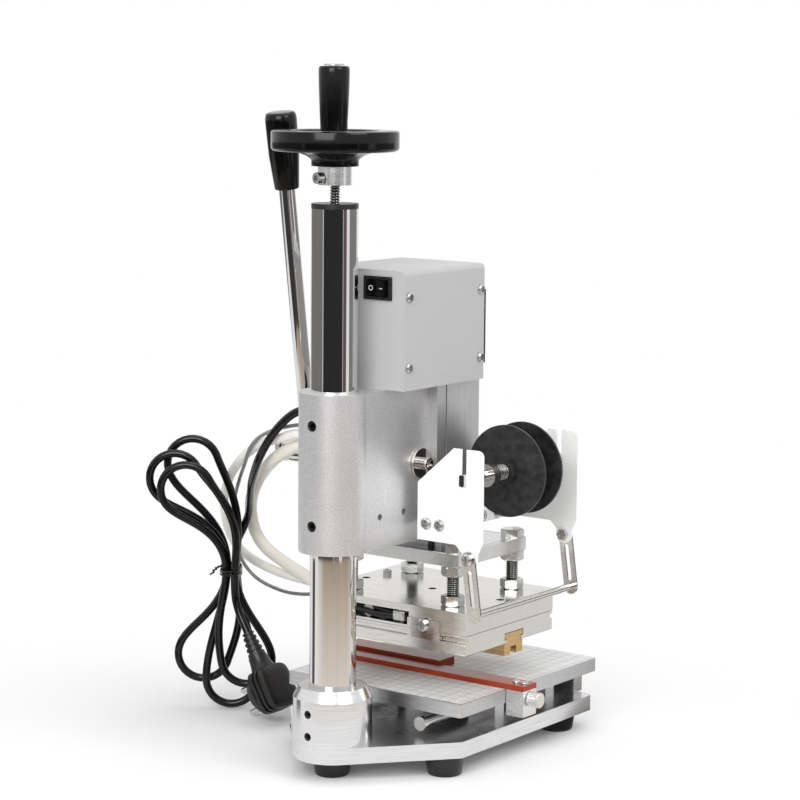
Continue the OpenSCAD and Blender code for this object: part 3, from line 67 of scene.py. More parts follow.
# %% Camera
PHOTO_SIDE = 800
FOCAL_PIXELS = 2478
HEADING, TILT, ROLL = (math.radians(x) for x in (36.83, 7.92, 0.4909))
CAMERA_PLACE = Vector((-1131.4, 1429.0, 539.8)) * MM

ahead = Vector((math.sin(HEADING) * math.cos(TILT), -math.cos(HEADING) * math.cos(TILT), -math.sin(TILT)))
level = Vector((-math.cos(HEADING), -math.sin(HEADING), 0))
above = level.cross(ahead)
right = level * math.cos(ROLL) + above * math.sin(ROLL)
top = above * math.cos(ROLL) - level * math.sin(ROLL)

camera = bpy.data.objects.new("camera", bpy.data.cameras.new("camera"))
camera.data.sensor_width = 36
camera.data.lens = FOCAL_PIXELS / PHOTO_SIDE * camera.data.sensor_width
turn = Matrix((right, top, -ahead)).transposed()
camera.matrix_world = Matrix.Translation(CAMERA_PLACE) @ turn.to_4x4()
bpy.context.scene.collection.objects.link(camera)
bpy.context.scene.camera = camera
print("lens", round(camera.data.lens, 1), "mm")

# %% [markdown]
# ## Turning formulas into meshes
# Every new piece here is a grid of points: one parameter runs along the piece and the other goes round
# it. The pieces could be modelled by hand or with curve objects. Grids were chosen because numpy works out
# all their points at once and the formula stays readable. One function turns a grid into a mesh whose
# faces point outwards, with a UV map that says how far along and how far round each corner is.

# %% Grid to mesh
def grid_faces(rows, cols, closed):
    """Corner numbers and UVs of a grid's faces: each point with its next ones along and round."""
    i, j = np.meshgrid(np.arange(rows if closed else rows - 1), np.arange(cols), indexing="ij")
    below, beside = (i + 1) % rows, (j + 1) % cols
    quads = np.stack([i * cols + j, i * cols + beside, below * cols + beside, below * cols + j], -1)
    u, next_u = i / rows, (i + 1) / rows
    v, next_v = j / cols, (j + 1) / cols
    uvs = np.stack([u, v, u, next_v, next_u, next_v, next_u, v], -1)
    return quads.reshape(-1, 4), uvs.reshape(-1, 2)


def skin(name, *grids, closed=False, sharp=35):
    """One mesh from grids of points in metres, rows along the piece and columns round it.

    Neighbouring points make four-sided faces, and the last column joins the first. closed joins the last
    row to the first too, and otherwise a flat face closes each end. sharp is the angle in degrees past
    which an edge stays crisp.
    """
    points, faces, uvs = [], [], []
    start = 0
    for grid in grids:
        rows, cols = grid.shape[:2]
        quads, corners = grid_faces(rows, cols, closed)
        faces += (quads + start).tolist()
        uvs.append(corners)
        if not closed:
            ring = np.arange(cols) + start
            faces += [ring[::-1].tolist(), (ring + (rows - 1) * cols).tolist()]
            uvs.append(np.zeros((2 * cols, 2)))
        points.append(grid.reshape(-1, 3))
        start += rows * cols
    mesh = bpy.data.meshes.new(name)
    mesh.from_pydata(np.concatenate(points).tolist(), [], faces)
    uv = mesh.uv_layers.new(name="along_and_round")
    uv.data.foreach_set("uv", np.concatenate(uvs).ravel().astype(np.float32))
    mesh.polygons.foreach_set("use_smooth", np.ones(len(faces), bool))
    mesh.set_sharp_from_angle(angle=math.radians(sharp))
    piece = bpy.data.objects.new(name, mesh)
    bpy.context.scene.collection.objects.link(piece)
    return piece


print("a grid of 3 by 8 has", len(grid_faces(3, 8, False)[0]), "faces before its ends are closed")

# %% [markdown]
# Two kinds of grid come back often: a round bar that follows a path, for cords and springs, and a profile
# turned about an axis, for handles, feet and pins. A curve's bevel and a Screw modifier make such shapes
# too, but two short functions keep every piece in the same form.

# %% Bars and turned pieces
OFF_AXIS = (0.36, 0.48, 0.8)


def circle(sides):
    """Angles of evenly spaced points round a full turn."""
    return np.linspace(0, 2 * np.pi, sides, endpoint=False)


def tube(path, radius, sides, reference):
    """Grid of a round bar: each ring is a circle square to the path.

    A ring's first axis is the reference direction with its share along the path taken away, and its
    second axis is the path's direction crossed with the first.
    """
    path, reference = np.asarray(path, float), np.asarray(reference, float)
    along = np.gradient(path, axis=0)
    along /= np.linalg.norm(along, axis=1, keepdims=True)
    first = reference - along * (along @ reference)[:, None]
    first /= np.linalg.norm(first, axis=1, keepdims=True)
    second = np.cross(along, first)
    angle = circle(sides)[None, :, None]
    return path[:, None] + radius * (np.cos(angle) * first[:, None] + np.sin(angle) * second[:, None])


def turned(profile, foot, axis, sides=64):
    """Grid of a turned piece: each (radius, height) of the profile becomes a circle round the axis."""
    profile, axis = np.asarray(profile, float), np.asarray(axis, float)
    first = np.cross(axis, OFF_AXIS)
    first /= np.linalg.norm(first)
    second = np.cross(axis, first)
    angle = circle(sides)[:, None]
    ring = np.cos(angle) * first + np.sin(angle) * second
    return np.asarray(foot) + profile[:, 1, None, None] * axis + profile[:, 0, None, None] * ring


print("a turned ring of 8 is", turned([[1, 0]], (0, 0, 0), (0, 0, 1), 8).shape)

# %% [markdown]
# A cord's path is a few given points, and a smooth curve through them. Blender's curves could do
# that too, but here the same points give the path, its length and its mesh.

# %% Curves through points
def smooth_through(points, steps):
    """Points of a Catmull-Rom curve: between two points the cubic that matches the neighbours' slopes."""
    p = np.asarray(points, float)
    q = np.vstack([2 * p[0] - p[1], p, 2 * p[-1] - p[-2]])
    t = np.arange(steps)[None, :, None] / steps
    a, b, c, d = (q[k:len(q) - 3 + k, None] for k in range(4))
    square, cube = 2 * a - 5 * b + 4 * c - d, 3 * b - a - 3 * c + d
    cubic = 0.5 * (2 * b + (c - a) * t + square * t**2 + cube * t**3)
    return np.vstack([cubic.reshape(-1, p.shape[1]), p[-1]])


def length_of(path):
    """Sum of the distances between neighbouring points."""
    return float(np.linalg.norm(np.diff(path, axis=0), axis=1).sum())


print("from (0, 0) over (3, 0) to (3, 4):", round(length_of(smooth_through([[0, 0], [3, 0], [3, 4]], 20)), 2))

# %% [markdown]
# ## Mains cord
# The cord leaves the block through a ribbed strain relief and hangs down to a hank: six lobes that hang
# and stand by turns from a tied waist. The loops could be drawn by hand point by point. Each lobe is
# a teardrop, two eased runs and a half circle, so one formula draws them all, and the solids use it too.

# %% Mains cord: sizes and listed points
CORD_D = 6.6
SIDE = np.array([-0.8, -0.6, 0])
DEPTH = np.array([0.6, -0.8, 0])
UP = np.array([0, 0, 1.0])
WAIST = np.array([181, -93, 118.0])
PITCH = 7.6
MIDDLE_ROW = 1.5
LOBE_R = 21
LOBE_LEN = np.array([98, 114, 114, 110, 96, 98.0])
LOBE_LEAN = np.array([18, 20, 0, 31, -10, 28.0])
LOBE_COUNT = len(LOBE_LEN)
LEAD_RUN = [[56.3, -44, 268], [66, -43.7, 267.4], [77.5, -41.2, 261], [90.5, -38, 247], [106, -40.5, 227],
            [126.5, -56, 205.5], [148, -79, 187.5], [164.8, -98.2, 173.5], [175.4, -107.6, 161.5],
            [181.6, -108.4, 150]]
PLUG_RUN = [[0, 0, -11], [-1.2, 0, -22.5], [-5, 0, -33], [-10, 0, -41.5], [-14, 0, -48.2]]
TAIL = np.array([0, 0, 14.0])
print(LOBE_COUNT, "lobes, the longest", LOBE_LEN.max(), "mm")

# %% [markdown]
# The route has three stretches: a curve from the block through the chosen points, the lobes, and a short
# curve down to the plug. Joined into one path, they give one cord without a seam.

# %% Mains cord: the route
LEAD_STEPS, LOBE_STEPS, PLUG_STEPS = 8, 56, 6


def eased(t):
    """Slow at both ends: three t squared less two t cubed."""
    return t * t * (3 - 2 * t)


def slot(k):
    """Where the cord passes the waist for the k-th time: left and right by turns, a row deeper each two."""
    k = np.asarray(k)[..., None]
    return WAIST + SIDE * np.where(k % 2 == 0, 1, -1) * PITCH / 2 + DEPTH * (MIDDLE_ROW - k // 2) * PITCH


def lobes(rings):
    """Teardrop lobes: a run that widens with eased(), a half circle, and the run back, leaning over."""
    j, s = np.meshgrid(np.arange(LOBE_COUNT), np.arange(rings) / rings, indexing="ij")
    hand = np.where(j % 2 == 0, 1, -1)
    run = LOBE_LEN[j] - LOBE_R
    arc = np.pi * LOBE_R
    along = s * (2 * run + arc)
    t = np.minimum(1, np.minimum(along, 2 * run + arc - along) / run)
    turn = np.pi * np.clip((along - run) / arc, 0, 1)
    spread = PITCH / 2 + (LOBE_R - PITCH / 2) * eased(t)
    first_half = along < run + arc / 2
    across = hand * np.where(t < 1, np.where(first_half, spread, -spread), LOBE_R * np.cos(turn))
    out = np.where(t < 1, t * run, run + LOBE_R * np.sin(turn))
    lean = np.radians(LOBE_LEAN[j]) * eased(np.minimum(1, out / run))
    side = across * np.cos(lean) - out * np.sin(lean)
    rise = -hand * (out * np.cos(lean) + across * np.sin(lean))
    row = (MIDDLE_ROW - j // 2) * PITCH - ((j + 1) // 2 - j // 2) * PITCH * eased(s)
    return (WAIST + SIDE * side[..., None] + DEPTH * row[..., None] + UP * rise[..., None]).reshape(-1, 3)


hank_end = slot(LOBE_COUNT)
lead = smooth_through(LEAD_RUN + [slot(0) + 1.5 * TAIL, slot(0) + TAIL], LEAD_STEPS)
to_plug = smooth_through([hank_end] + [hank_end + np.array(p) for p in PLUG_RUN], PLUG_STEPS)
cord_path = np.vstack([lead, [slot(0) + TAIL / 2], lobes(LOBE_STEPS), to_plug]) * MM
print("mains cord", round(length_of(cord_path), 3), "m")

# %% [markdown]
# The sheath is a round bar along the route. It could be a curve with a round bevel, but a mesh from the
# grid brings its UV map along.

# %% Mains cord: the mesh
CORD_SIDES = 20
mains_cord = skin("mains_cord", tube(cord_path, CORD_D / 2 * MM, CORD_SIDES, DEPTH))
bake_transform(mains_cord)
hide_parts("power_cord", "power_hank")
print("mains cord", len(mains_cord.data.polygons), "faces")

# %% [markdown]
# ## Plug
# The plug is moulded round the cord: a round face with two pins, a boxed back with finger grooves, a cheek
# that narrows to the neck, and a ribbed sleeve. Boxes joined by booleans would need their edges rounded
# one by one. Here the face is turned, and the back and the cheek are lofts of rounded squares, each ring
# a superellipse, so the soft corners come with the formula.

# %% Plug: place and rounded squares
PLUG_TILT = math.radians(30)
PLUG_X = np.array([math.cos(PLUG_TILT), 0, -math.sin(PLUG_TILT)])
PLUG_Y = np.array([0, 1, 0])
PLUG_Z = np.array([math.sin(PLUG_TILT), 0, math.cos(PLUG_TILT)])
PLUG_NECK = 50
PLUG_PLACE = (hank_end + np.array(PLUG_RUN[-1]) - PLUG_NECK * PLUG_Z) * MM


def superellipse(half_x, half_y, power, sides=48):
    """Rounded square: cosine and sine with each one's size raised to two over the power."""
    c, s = np.cos(circle(sides)), np.sin(circle(sides))
    power = np.broadcast_to(power, np.shape(half_x))[:, None]
    x = np.sign(c) * np.abs(c) ** (2 / power) * np.asarray(half_x)[:, None]
    y = np.sign(s) * np.abs(s) ** (2 / power) * np.asarray(half_y)[:, None]
    return x, y


def between(first, last, share):
    """Straight change from the first value to the last."""
    return first + (last - first) * share


print("plug at", np.round(PLUG_PLACE, 3))

# %% Plug: face and back
FACE_R = 18.5
BACK_HALF = 17.5
BACK_POWER = 4.5
GRIP_CUT = 1.6
face = np.array([[5, 4], [FACE_R, 4], [FACE_R, 6.5], [FACE_R - 0.5, 7.8], [FACE_R - 1.6, 8.2],
                 [FACE_R - 1.8, 11], [FACE_R - 2.6, 12], [FACE_R - 5, 12], [FACE_R - 5.6, 11.2], [5, 11.2]])
cut, depth = np.array([
    [6, -12], [2.5, -12], [0.8, -11.2], [0, -9.5], [0, -7], [GRIP_CUT, -6.8], [GRIP_CUT, -4.7], [0, -4.5],
    [0, -2.2], [GRIP_CUT, -2], [GRIP_CUT, 0.1], [0, 0.3], [0, 5]]).T
back_y, back_z = superellipse(BACK_HALF - cut, FACE_R - cut, BACK_POWER, 64)
boxed = depth[:, None, None] * PLUG_X + back_y[..., None] * PLUG_Y + back_z[..., None] * PLUG_Z
print("plug's back", len(depth), "rings")

# %% Plug: cheek, neck and mesh
CHEEK_LOW, CHEEK_HIGH = 2, 29
NECK_LOW, NECK_LEN = 28, 22
RIB_PITCH, RIB_CUT = 4.6, 1.1
cheek_z = np.linspace(CHEEK_LOW, CHEEK_HIGH, 24)
share = eased((cheek_z - CHEEK_LOW) / (CHEEK_HIGH - CHEEK_LOW))
cheek_x, cheek_y = superellipse(between(9.5, 7.7, share), between(15, 7.7, share), between(3.6, 2.2, share))
cheek = ((between(-2.5, 0, share)[:, None] + cheek_x)[..., None] * PLUG_X + cheek_y[..., None] * PLUG_Y
         + cheek_z[:, None, None] * PLUG_Z)
neck_z = np.linspace(0, NECK_LEN, 133)
ring_cuts = (np.sin(neck_z * 2 * np.pi / RIB_PITCH) > 0.2) & (neck_z > 2)
neck_r = between(7.6, 5.0, neck_z / NECK_LEN) - RIB_CUT * ring_cuts
neck = np.stack([neck_r, neck_z + NECK_LOW], 1)
plug_body = skin("plug_body", turned(face * MM, PLUG_PLACE, PLUG_X), PLUG_PLACE + boxed * MM,
                 PLUG_PLACE + cheek * MM, turned(neck * MM, PLUG_PLACE, PLUG_Z, 32))
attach(plug_body, "base")
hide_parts("plug")
print("plug", len(plug_body.data.polygons), "faces")

# %% [markdown]
# The two pins are bright metal rods with blunt ends, so they are turned.

# %% Plug: pins
PIN_D, PIN_LEN, PIN_APART, PIN_FOOT = 4.8, 19, 19, 11.5
pin = np.array([[PIN_D / 2, -1], [PIN_D / 2, PIN_LEN - 1.6], [PIN_D * 0.42, PIN_LEN - 0.6],
                [PIN_D * 0.22, PIN_LEN]])
pin_feet = [PLUG_PLACE + (PIN_FOOT * PLUG_X + side * PIN_APART / 2 * PLUG_Z) * MM for side in (-1, 1)]
plug_pins = skin("plug_pins", *(turned(pin * MM, foot, PLUG_X, 24) for foot in pin_feet))
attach(plug_pins, "base")
print("pins", PIN_APART, "mm apart")

# %% [markdown]
# A thin wire tie holds the hank at its waist. It could be a plain ring, but a wound tie shows its turns.
# Its route is a rounded rectangle that climbs a little with each turn, and its two ends are twisted
# together.

# %% Wire tie
TIE_TURNS, TIE_CLIMB, TIE_START = 2.5, 2.6, -3
TIE_GAP, TIE_ROUND = 1.1, 0.6
TIE_R, TWIST_R = 0.9, 0.8
TWIST_OUT, TWIST_DROP, TWIST_ANGLE = -8, -7, 24
wraps = np.linspace(0, TIE_TURNS * 2 * np.pi, 160)
c, s = np.cos(wraps), np.sin(wraps)
tie_a = np.sign(c) * np.abs(c) ** TIE_ROUND * (PITCH / 2 + CORD_D / 2 + TIE_GAP)
tie_b = np.sign(s) * np.abs(s) ** TIE_ROUND * (MIDDLE_ROW * PITCH + CORD_D / 2 + TIE_GAP)
tie_up = wraps / (2 * np.pi) * TIE_CLIMB + TIE_START
tie_path = WAIST + SIDE * tie_a[:, None] + DEPTH * tie_b[:, None] + UP * tie_up[:, None]
t = np.linspace(0, 1, 60)
twist_side = TWIST_OUT * t + TWIST_R * np.sin(TWIST_ANGLE * t)
twist_depth = TWIST_R * np.cos(TWIST_ANGLE * t) - TWIST_R
twist_path = (tie_path[-1] + SIDE * twist_side[:, None] + DEPTH * twist_depth[:, None]
              + UP * (TWIST_DROP * t * t)[:, None])
wire_tie = skin("wire_tie", tube(tie_path * MM, TIE_R * MM, 10, UP),
                tube(twist_path * MM, TWIST_R * MM, 8, UP))
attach(wire_tie, "base")
print("wire tie", round(length_of(tie_path * MM), 3), "m")

# %% [markdown]
# ## Heater leads
# Three leads loop from the block's outlet down to the heater: a white sleeve, a thicker cream sleeve and
# a thin steel braid. A cord simulation could hang them, but their stiff arcs are seen in the photograph, so
# listed points follow those arcs.

# %% Heater leads
LEAD_SIDES = 24
LEADS = {
    "white_sleeve": (7.5, [[31.5, -37, 246], [46, -37, 246], [67, -41, 249], [92, -47, 242],
                           [115.5, -54.5, 235], [146, -74, 222.5], [176, -96, 207.5], [198.5, -111, 190.5],
                           [210.5, -118.5, 172], [213, -124, 151.5], [207, -127, 134], [192.5, -129.3, 122],
                           [168, -129, 115], [140, -125, 112.5], [96, -116.6, 113], [75.3, -116, 113]]),
    "cream_sleeve": (10, [[31.5, -51, 244], [46, -51, 244], [70, -50.5, 239.5], [90, -53, 231.5],
                          [110, -59, 220], [148, -88, 197.5], [178, -115, 173], [184.5, -125.5, 150.5],
                          [176, -129, 134], [151, -124, 124.5], [112, -109, 118.5], [90, -97.3, 115.5],
                          [75.3, -97, 115.5]]),
    "steel_braid": (3, [[31.5, -44, 257], [42, -44, 257], [66, -44, 256], [91, -44.8, 250.3],
                        [111, -47.5, 242], [127.5, -54.5, 230.5], [150, -74, 212.5], [172, -94, 196.5],
                        [191, -109.5, 174.5], [197.5, -116, 148], [193.5, -119.5, 123.5],
                        [178, -121.5, 107.5], [150.5, -119.5, 101], [123, -113, 102.5],
                        [92, -107.5, 108], [75.3, -106.5, 108.5]]),
}
leads = {}
for name, (thick, run) in LEADS.items():
    path = smooth_through(run, LEAD_STEPS) * MM
    leads[name] = skin(name, tube(path, thick / 2 * MM, LEAD_SIDES, [0, 1, 0]))
    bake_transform(leads[name])
    print(name, round(length_of(path), 3), "m")
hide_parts("heater_leads")

# %% [markdown]
# ## Springs
# One spring returns the lever and one brakes the spool. A Screw modifier could sweep a wire round, but the
# end turns of a real spring lie flat. So the wire is a tube along a helix whose height stands almost still
# over the end turns and grows evenly between them.

# %% Springs
END_TURNS, END_RISE = 0.8, 0.02
TURN_STEPS, WIRE_SIDES = 40, 14


def coil(radius, length, wire, turns, start, axis, first):
    """Helix with flat ends: the angle grows evenly, and the height nearly all between the end turns."""
    s = np.linspace(0, 1, int(turns * TURN_STEPS))
    axis, first = np.asarray(axis, float), np.asarray(first, float)
    second = np.cross(axis, first)
    angle = (2 * np.pi * turns * s)[:, None]
    flat = END_TURNS / turns
    height = wire / 2 + (length - wire) * np.clip((s - flat) / (1 - 2 * flat), 0, 1)
    rise = END_RISE * wire * (np.minimum(s / flat - 1, 0) + np.maximum((s - 1 + flat) / flat, 0))
    ring = radius * (np.cos(angle) * first + np.sin(angle) * second)
    path = np.asarray(start) + axis * (height + rise)[:, None] + ring
    return tube(path * MM, wire / 2 * MM, WIRE_SIDES, axis)


return_coil = skin("return_coil", coil(8.85, 41.5, 2.5, 9, (26, -73.5, 232), (1, 0, 0), (0, 1, 0)))
spool_coil = skin("spool_coil", coil(5.55, 14.55, 1.2, 6, (-76, -97.15, 225.5), (0, -1, 0), (1, 0, 0)))
for piece, node, body in ((return_coil, "return_spring", "head"), (spool_coil, "spool_spring", "ram")):
    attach(piece, body)
    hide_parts(node)
print("springs", len(return_coil.data.polygons), len(spool_coil.data.polygons), "faces")

# %% [markdown]
# ## Screw threads, nuts and bolt heads
# Four long bolts level the heated plate, and a screw lifts the head. A bump texture would leave their
# outlines straight, so a thread is real: a cylinder whose radius dips in step with height and angle
# together.

# %% Threads
DIP = 0.3
THREAD_STEPS, THREAD_SIDES = 8, 28
TAPER, TAPER_MARGIN = 0.6, 0.7


def upright(r, angle, z, at):
    """Grid round an upright line: the place plus the radius times cosine and sine, at each height."""
    across = [at[0] + r * np.cos(angle), at[1] + r * np.sin(angle)]
    return np.stack([*across, np.broadcast_to(z, r.shape)], -1) * MM


def thread(d, pitch, low, high, at):
    """Grid of a screw: half the diameter less a groove that follows height over pitch less angle."""
    z = np.arange(low, high, pitch / THREAD_STEPS)
    angle = circle(THREAD_SIDES)
    phase = z[:, None] / pitch - angle[None] / (2 * np.pi)
    groove = DIP * pitch * (1 + np.cos(2 * np.pi * phase))
    ends = np.minimum(np.minimum(z - low, z[-1] - z), 1)[:, None] - 1
    return upright(d / 2 - groove + TAPER * ends, angle, z[:, None], at)


def mark_grooves(piece, places, d, pitch):
    """Stores how deep in a thread each point lies: 0 on the crest and 1 at the bottom of the groove."""
    points = np.empty(len(piece.data.vertices) * 3, np.float32)
    piece.data.vertices.foreach_get("co", points)
    points = points.reshape(-1, 3) / MM
    reach = np.min([np.hypot(points[:, 0] - x, points[:, 1] - y) for x, y in places], axis=0)
    bottom = 2 * DIP * pitch
    depth = np.clip((d / 2 - reach) / bottom, 0, 1) * (reach > d / 2 - bottom - TAPER_MARGIN)
    piece.data.attributes.new("groove", "FLOAT", "POINT").data.foreach_set("value", depth.astype(np.float32))


print("thread of one turn", thread(10, 1.5, 0, 1.5, (0, 0)).shape)

# %% [markdown]
# A nut's hexagon is a circle whose radius grows towards six corners. A cylinder with six sides and a bevel
# comes close, but cutting the hexagon with a cone near its ends gives the curved chamfer of real nuts.

# %% Hexagons
NUT_SIDES = 72
CHAMFER_IN, CHAMFER_SLOPE = 0.3, 1.75
LEAST_BORE = 0.2


def hexagon(flats, low, high, at, bore=0.0, low_chamfer=True):
    """Closed grid of a nut: half the flats over the cosine of the angle to the nearest flat, cut by cones."""
    angle = circle(NUT_SIDES)
    corner = flats / 2 / np.cos((angle + np.pi / 6) % (np.pi / 3) - np.pi / 6)
    z = between(low, high, np.concatenate([np.linspace(0, 0.25, 9), np.linspace(0.75, 1, 9)]))
    foot = flats / 2 - CHAMFER_IN
    top_cone = foot + (high - z) * CHAMFER_SLOPE
    low_cone = foot + (z - low) * CHAMFER_SLOPE if low_chamfer else np.full_like(z, flats)
    r = np.minimum(corner[None], np.minimum(top_cone, low_cone)[:, None])
    hole = np.full((1, NUT_SIDES), max(bore, LEAST_BORE))
    return upright(np.vstack([hole, r, hole]), angle, np.concatenate([z[:1], z, z[-1:]])[:, None], at)


print("a nut is a grid of", hexagon(16, 0, 8, (0, 0)).shape)

# %% [markdown]
# Each bolt has its head on the adjusting plate, one nut under that plate and one on the heated plate. One
# bolt could be copied four times as an object, but all their grids in one mesh make a single piece that
# takes the place of the plain bolts.

# %% Adjusting bolts
BOLT_D, BOLT_FLATS, BOLT_PITCH = 10, 16, 1.5
BOLT_HEAD, NUT_H, BOLT_SINK, BOLT_INTO_HEAD = 6.4, 8, 4.2, 0.5
HEATER_TOP, ADJUST_Z, ADJUST_TOP = 122.5, 153.4, 164.0
PLATE_Y, BOLT_X, BOLT_Y = -126, 49, 40
NUT_BORE = BOLT_D / 2 - 0.6
bolt_places = [(x, PLATE_Y + y) for x in (-BOLT_X, BOLT_X) for y in (-BOLT_Y, BOLT_Y)]
bolt_grids = []
for at in bolt_places:
    bolt_grids += [hexagon(BOLT_FLATS, ADJUST_TOP, ADJUST_TOP + BOLT_HEAD, at, low_chamfer=False),
                   thread(BOLT_D, BOLT_PITCH, HEATER_TOP - BOLT_SINK, ADJUST_TOP + BOLT_INTO_HEAD, at),
                   hexagon(BOLT_FLATS, ADJUST_Z - NUT_H, ADJUST_Z, at, NUT_BORE),
                   hexagon(BOLT_FLATS, HEATER_TOP, HEATER_TOP + NUT_H, at, NUT_BORE)]
bolts = skin("threaded_bolts", *bolt_grids, sharp=28)
mark_grooves(bolts, bolt_places, BOLT_D, BOLT_PITCH)
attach(bolts, "ram")
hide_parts("adjusting_bolts")
print(len(bolt_places), "bolts", len(bolts.data.polygons), "faces")

# %% [markdown]
# The lift screw stands on the column's axis. Its height could be typed again, but it is read from the
# solid that it replaces, so the two agree.

# %% Lift screw
SCREW_D, SCREW_PITCH = 8, 2
SCREW_LOW, SCREW_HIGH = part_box("lead_screw")[0].z / MM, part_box("lead_screw")[1].z / MM
lift_screw = skin("lift_screw_thread", thread(SCREW_D, SCREW_PITCH, SCREW_LOW, SCREW_HIGH, (0, 0)))
mark_grooves(lift_screw, [(0, 0)], SCREW_D, SCREW_PITCH)
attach(lift_screw, "handwheel")
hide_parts("lead_screw")
print("lift screw", len(lift_screw.data.polygons), "faces")

# %% [markdown]
# ## Turned handles
# The handwheel, its turning handle and the lever's grip are moulded in black plastic and all round. They
# could be bevelled cylinders, but their bellied outlines are what the eye knows them by. So each is
# a profile of radius against height, with small rounds at its corners, turned about its axis.

# %% Handwheel and its handle
WHEEL_Z, WHEEL_R, WHEEL_SIDES = 459.0, 47.2, 128
HANDLE_AT, HANDLE_Z = (-23.1, 30.8), 485.4
wheel_profile = np.array([
    [4.1, 0], [17.2, 0], [17.5, 0.3], [17.5, 4.4], [18.2, 5.4], [21.5, 7.6], [28.5, 10.2], [44.2, 10.9],
    [45.8, 11.5], [46.9, 12.6], [WHEEL_R, 13.8], [WHEEL_R, 24.2], [46.8, 25.4], [45.9, 26], [33.6, 26],
    [32.4, 25.6], [31, 24], [29.7, 22.6], [22, 15.6], [20.5, 15.1], [18.5, 16], [16.5, 17], [8.6, 18],
    [4.1, 18]])
wheel_grid = turned(wheel_profile * MM, (0, 0, WHEEL_Z * MM), (0, 0, 1), WHEEL_SIDES)
smooth_wheel = skin("smooth_handwheel", wheel_grid, closed=True)
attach(smooth_wheel, "handwheel")
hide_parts("handwheel")

handle_profile = np.array([
    [4.05, 0], [9, 0], [9.5, 0.4], [9.68, 1], [10.65, 20.9], [11.1, 34], [11.25, 42], [11.2, 44],
    [10.95, 45.4], [10.4, 46.2], [9.85, 46.5], [4.05, 46.5]])
handle_grid = turned(handle_profile * MM, np.array([*HANDLE_AT, HANDLE_Z]) * MM, (0, 0, 1))
smooth_handle = skin("smooth_wheel_handle", handle_grid, closed=True)
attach(smooth_handle, "wheel_handle")
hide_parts("wheel_handle")
print("wheel", 2 * WHEEL_R, "mm across")

# %% [markdown]
# The grip sits at the end of the lever's rod, which leans a little. It could be turned upright and tilted
# after that, but turning it about the rod's own axis keeps its place in the mesh.

# %% Lever's grip
LEVER_LEAN = math.radians(8.1)
LEVER_UP = np.array([0, math.sin(LEVER_LEAN), math.cos(LEVER_LEAN)])
LEVER_FOOT, GRIP_UP = np.array([82, -73.5, 232]), 207.8
grip_profile = np.array([
    [6.3, 0], [9, 0], [9.4, 0.5], [9.55, 1.2], [11.8, 26.6], [12.2, 48], [12.25, 53], [12.1, 55.2],
    [11.6, 57.4], [10.9, 58.5], [9.8, 59.05], [8.5, 59.2], [0.3, 59.2]])
grip_foot = (LEVER_FOOT + GRIP_UP * LEVER_UP) * MM
smooth_grip = skin("smooth_lever_grip", turned(grip_profile * MM, grip_foot, LEVER_UP))
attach(smooth_grip, "lever")
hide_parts("lever_grip")
for piece in (smooth_wheel, smooth_handle, smooth_grip):
    print(piece.name, len(piece.data.polygons), "faces")

# %% [markdown]
# The machine stands on five rubber feet. A plain cone would do from afar, but moulded rubber has soft
# corners that catch the light, so they are turned too.

# %% Feet
FEET = [(0, 0), (66, -54), (-66, -54), (62, -214), (-62, -214)]
foot_profile = np.array([[3, 0], [11.6, 0], [12.5, 0.3], [13.05, 1.2], [15.4, 14], [15.5, 14.8], [15.2, 15],
                         [3, 15]])
foot_grids = [turned(foot_profile * MM, (x * MM, y * MM, 0), (0, 0, 1), 48) for x, y in FEET]
soft_feet = skin("soft_feet", *foot_grids)
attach(soft_feet, "base")
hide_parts("rubber_feet")
print(len(FEET), "feet")

# %% [markdown]
# ## Knurled and ribbed pieces
# The thumb screw and the lever hub's end ring are knurled for the fingers. A bump could fake it, but the
# ridges break the outline, so the radius itself carries two crossing sets of them.

# %% Knurled screw and ring
KNURL_ROWS, KNURL_DEPTH = 26, 0.07
EDGE_IN, EDGE_LEN, CORE = 0.7, 0.5, 0.2


def knurled(r, low, high, ridges, foot, axis, sides=160):
    """Turned grid with diamond ridges: the lesser of two sines of the angle that lean opposite ways."""
    foot, axis = np.asarray(foot) * MM, np.asarray(axis)
    rows = np.linspace(low + EDGE_LEN, high - EDGE_LEN, KNURL_ROWS)
    h = np.concatenate([[low, low], rows, [high, high]])
    edge = np.array([r * CORE, r - EDGE_IN] + [r] * KNURL_ROWS + [r - EDGE_IN, r * CORE])
    grid = turned(np.stack([edge, h], 1) * MM, foot, axis, sides)
    angle, lean = circle(sides)[None], (h[:, None] - low) / r
    rising, falling = np.sin(ridges / 2 * (angle + lean)), np.sin(ridges / 2 * (angle - lean))
    dip = KNURL_DEPTH * (1 - np.minimum(np.abs(rising), np.abs(falling)))
    dip[[0, 1, -2, -1]] = 0
    centre = foot + h[:, None, None] * MM * axis
    return centre + (grid - centre) * (1 - dip)[..., None]


THUMB, THUMB_R, THUMB_LEN = (-100.3, -117.75, 50.49), 6, 10
HUB_RING, HUB_RING_R, HUB_RING_LEN = (103.9, -73.5, 232), 12.2, 4.4
shank = np.array([[3, 0], [3, 15.4], [2.6, 16.0]])
shank_grid = turned(shank * MM, np.array(THUMB) * MM, (1, 0, 0), 32)
thumb_head = knurled(THUMB_R, 0, THUMB_LEN, 30, THUMB, (-1, 0, 0))
knurled_screw = skin("knurled_thumb_screw", shank_grid, thumb_head)
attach(knurled_screw, "thumb_screw")
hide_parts("thumb_screw")

hub_ring = skin("lever_hub_knurl", knurled(HUB_RING_R, 0, HUB_RING_LEN, 44, HUB_RING, (1, 0, 0)))
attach(hub_ring, "lever")
print("thumb screw", len(knurled_screw.data.polygons), "hub ring", len(hub_ring.data.polygons), "faces")

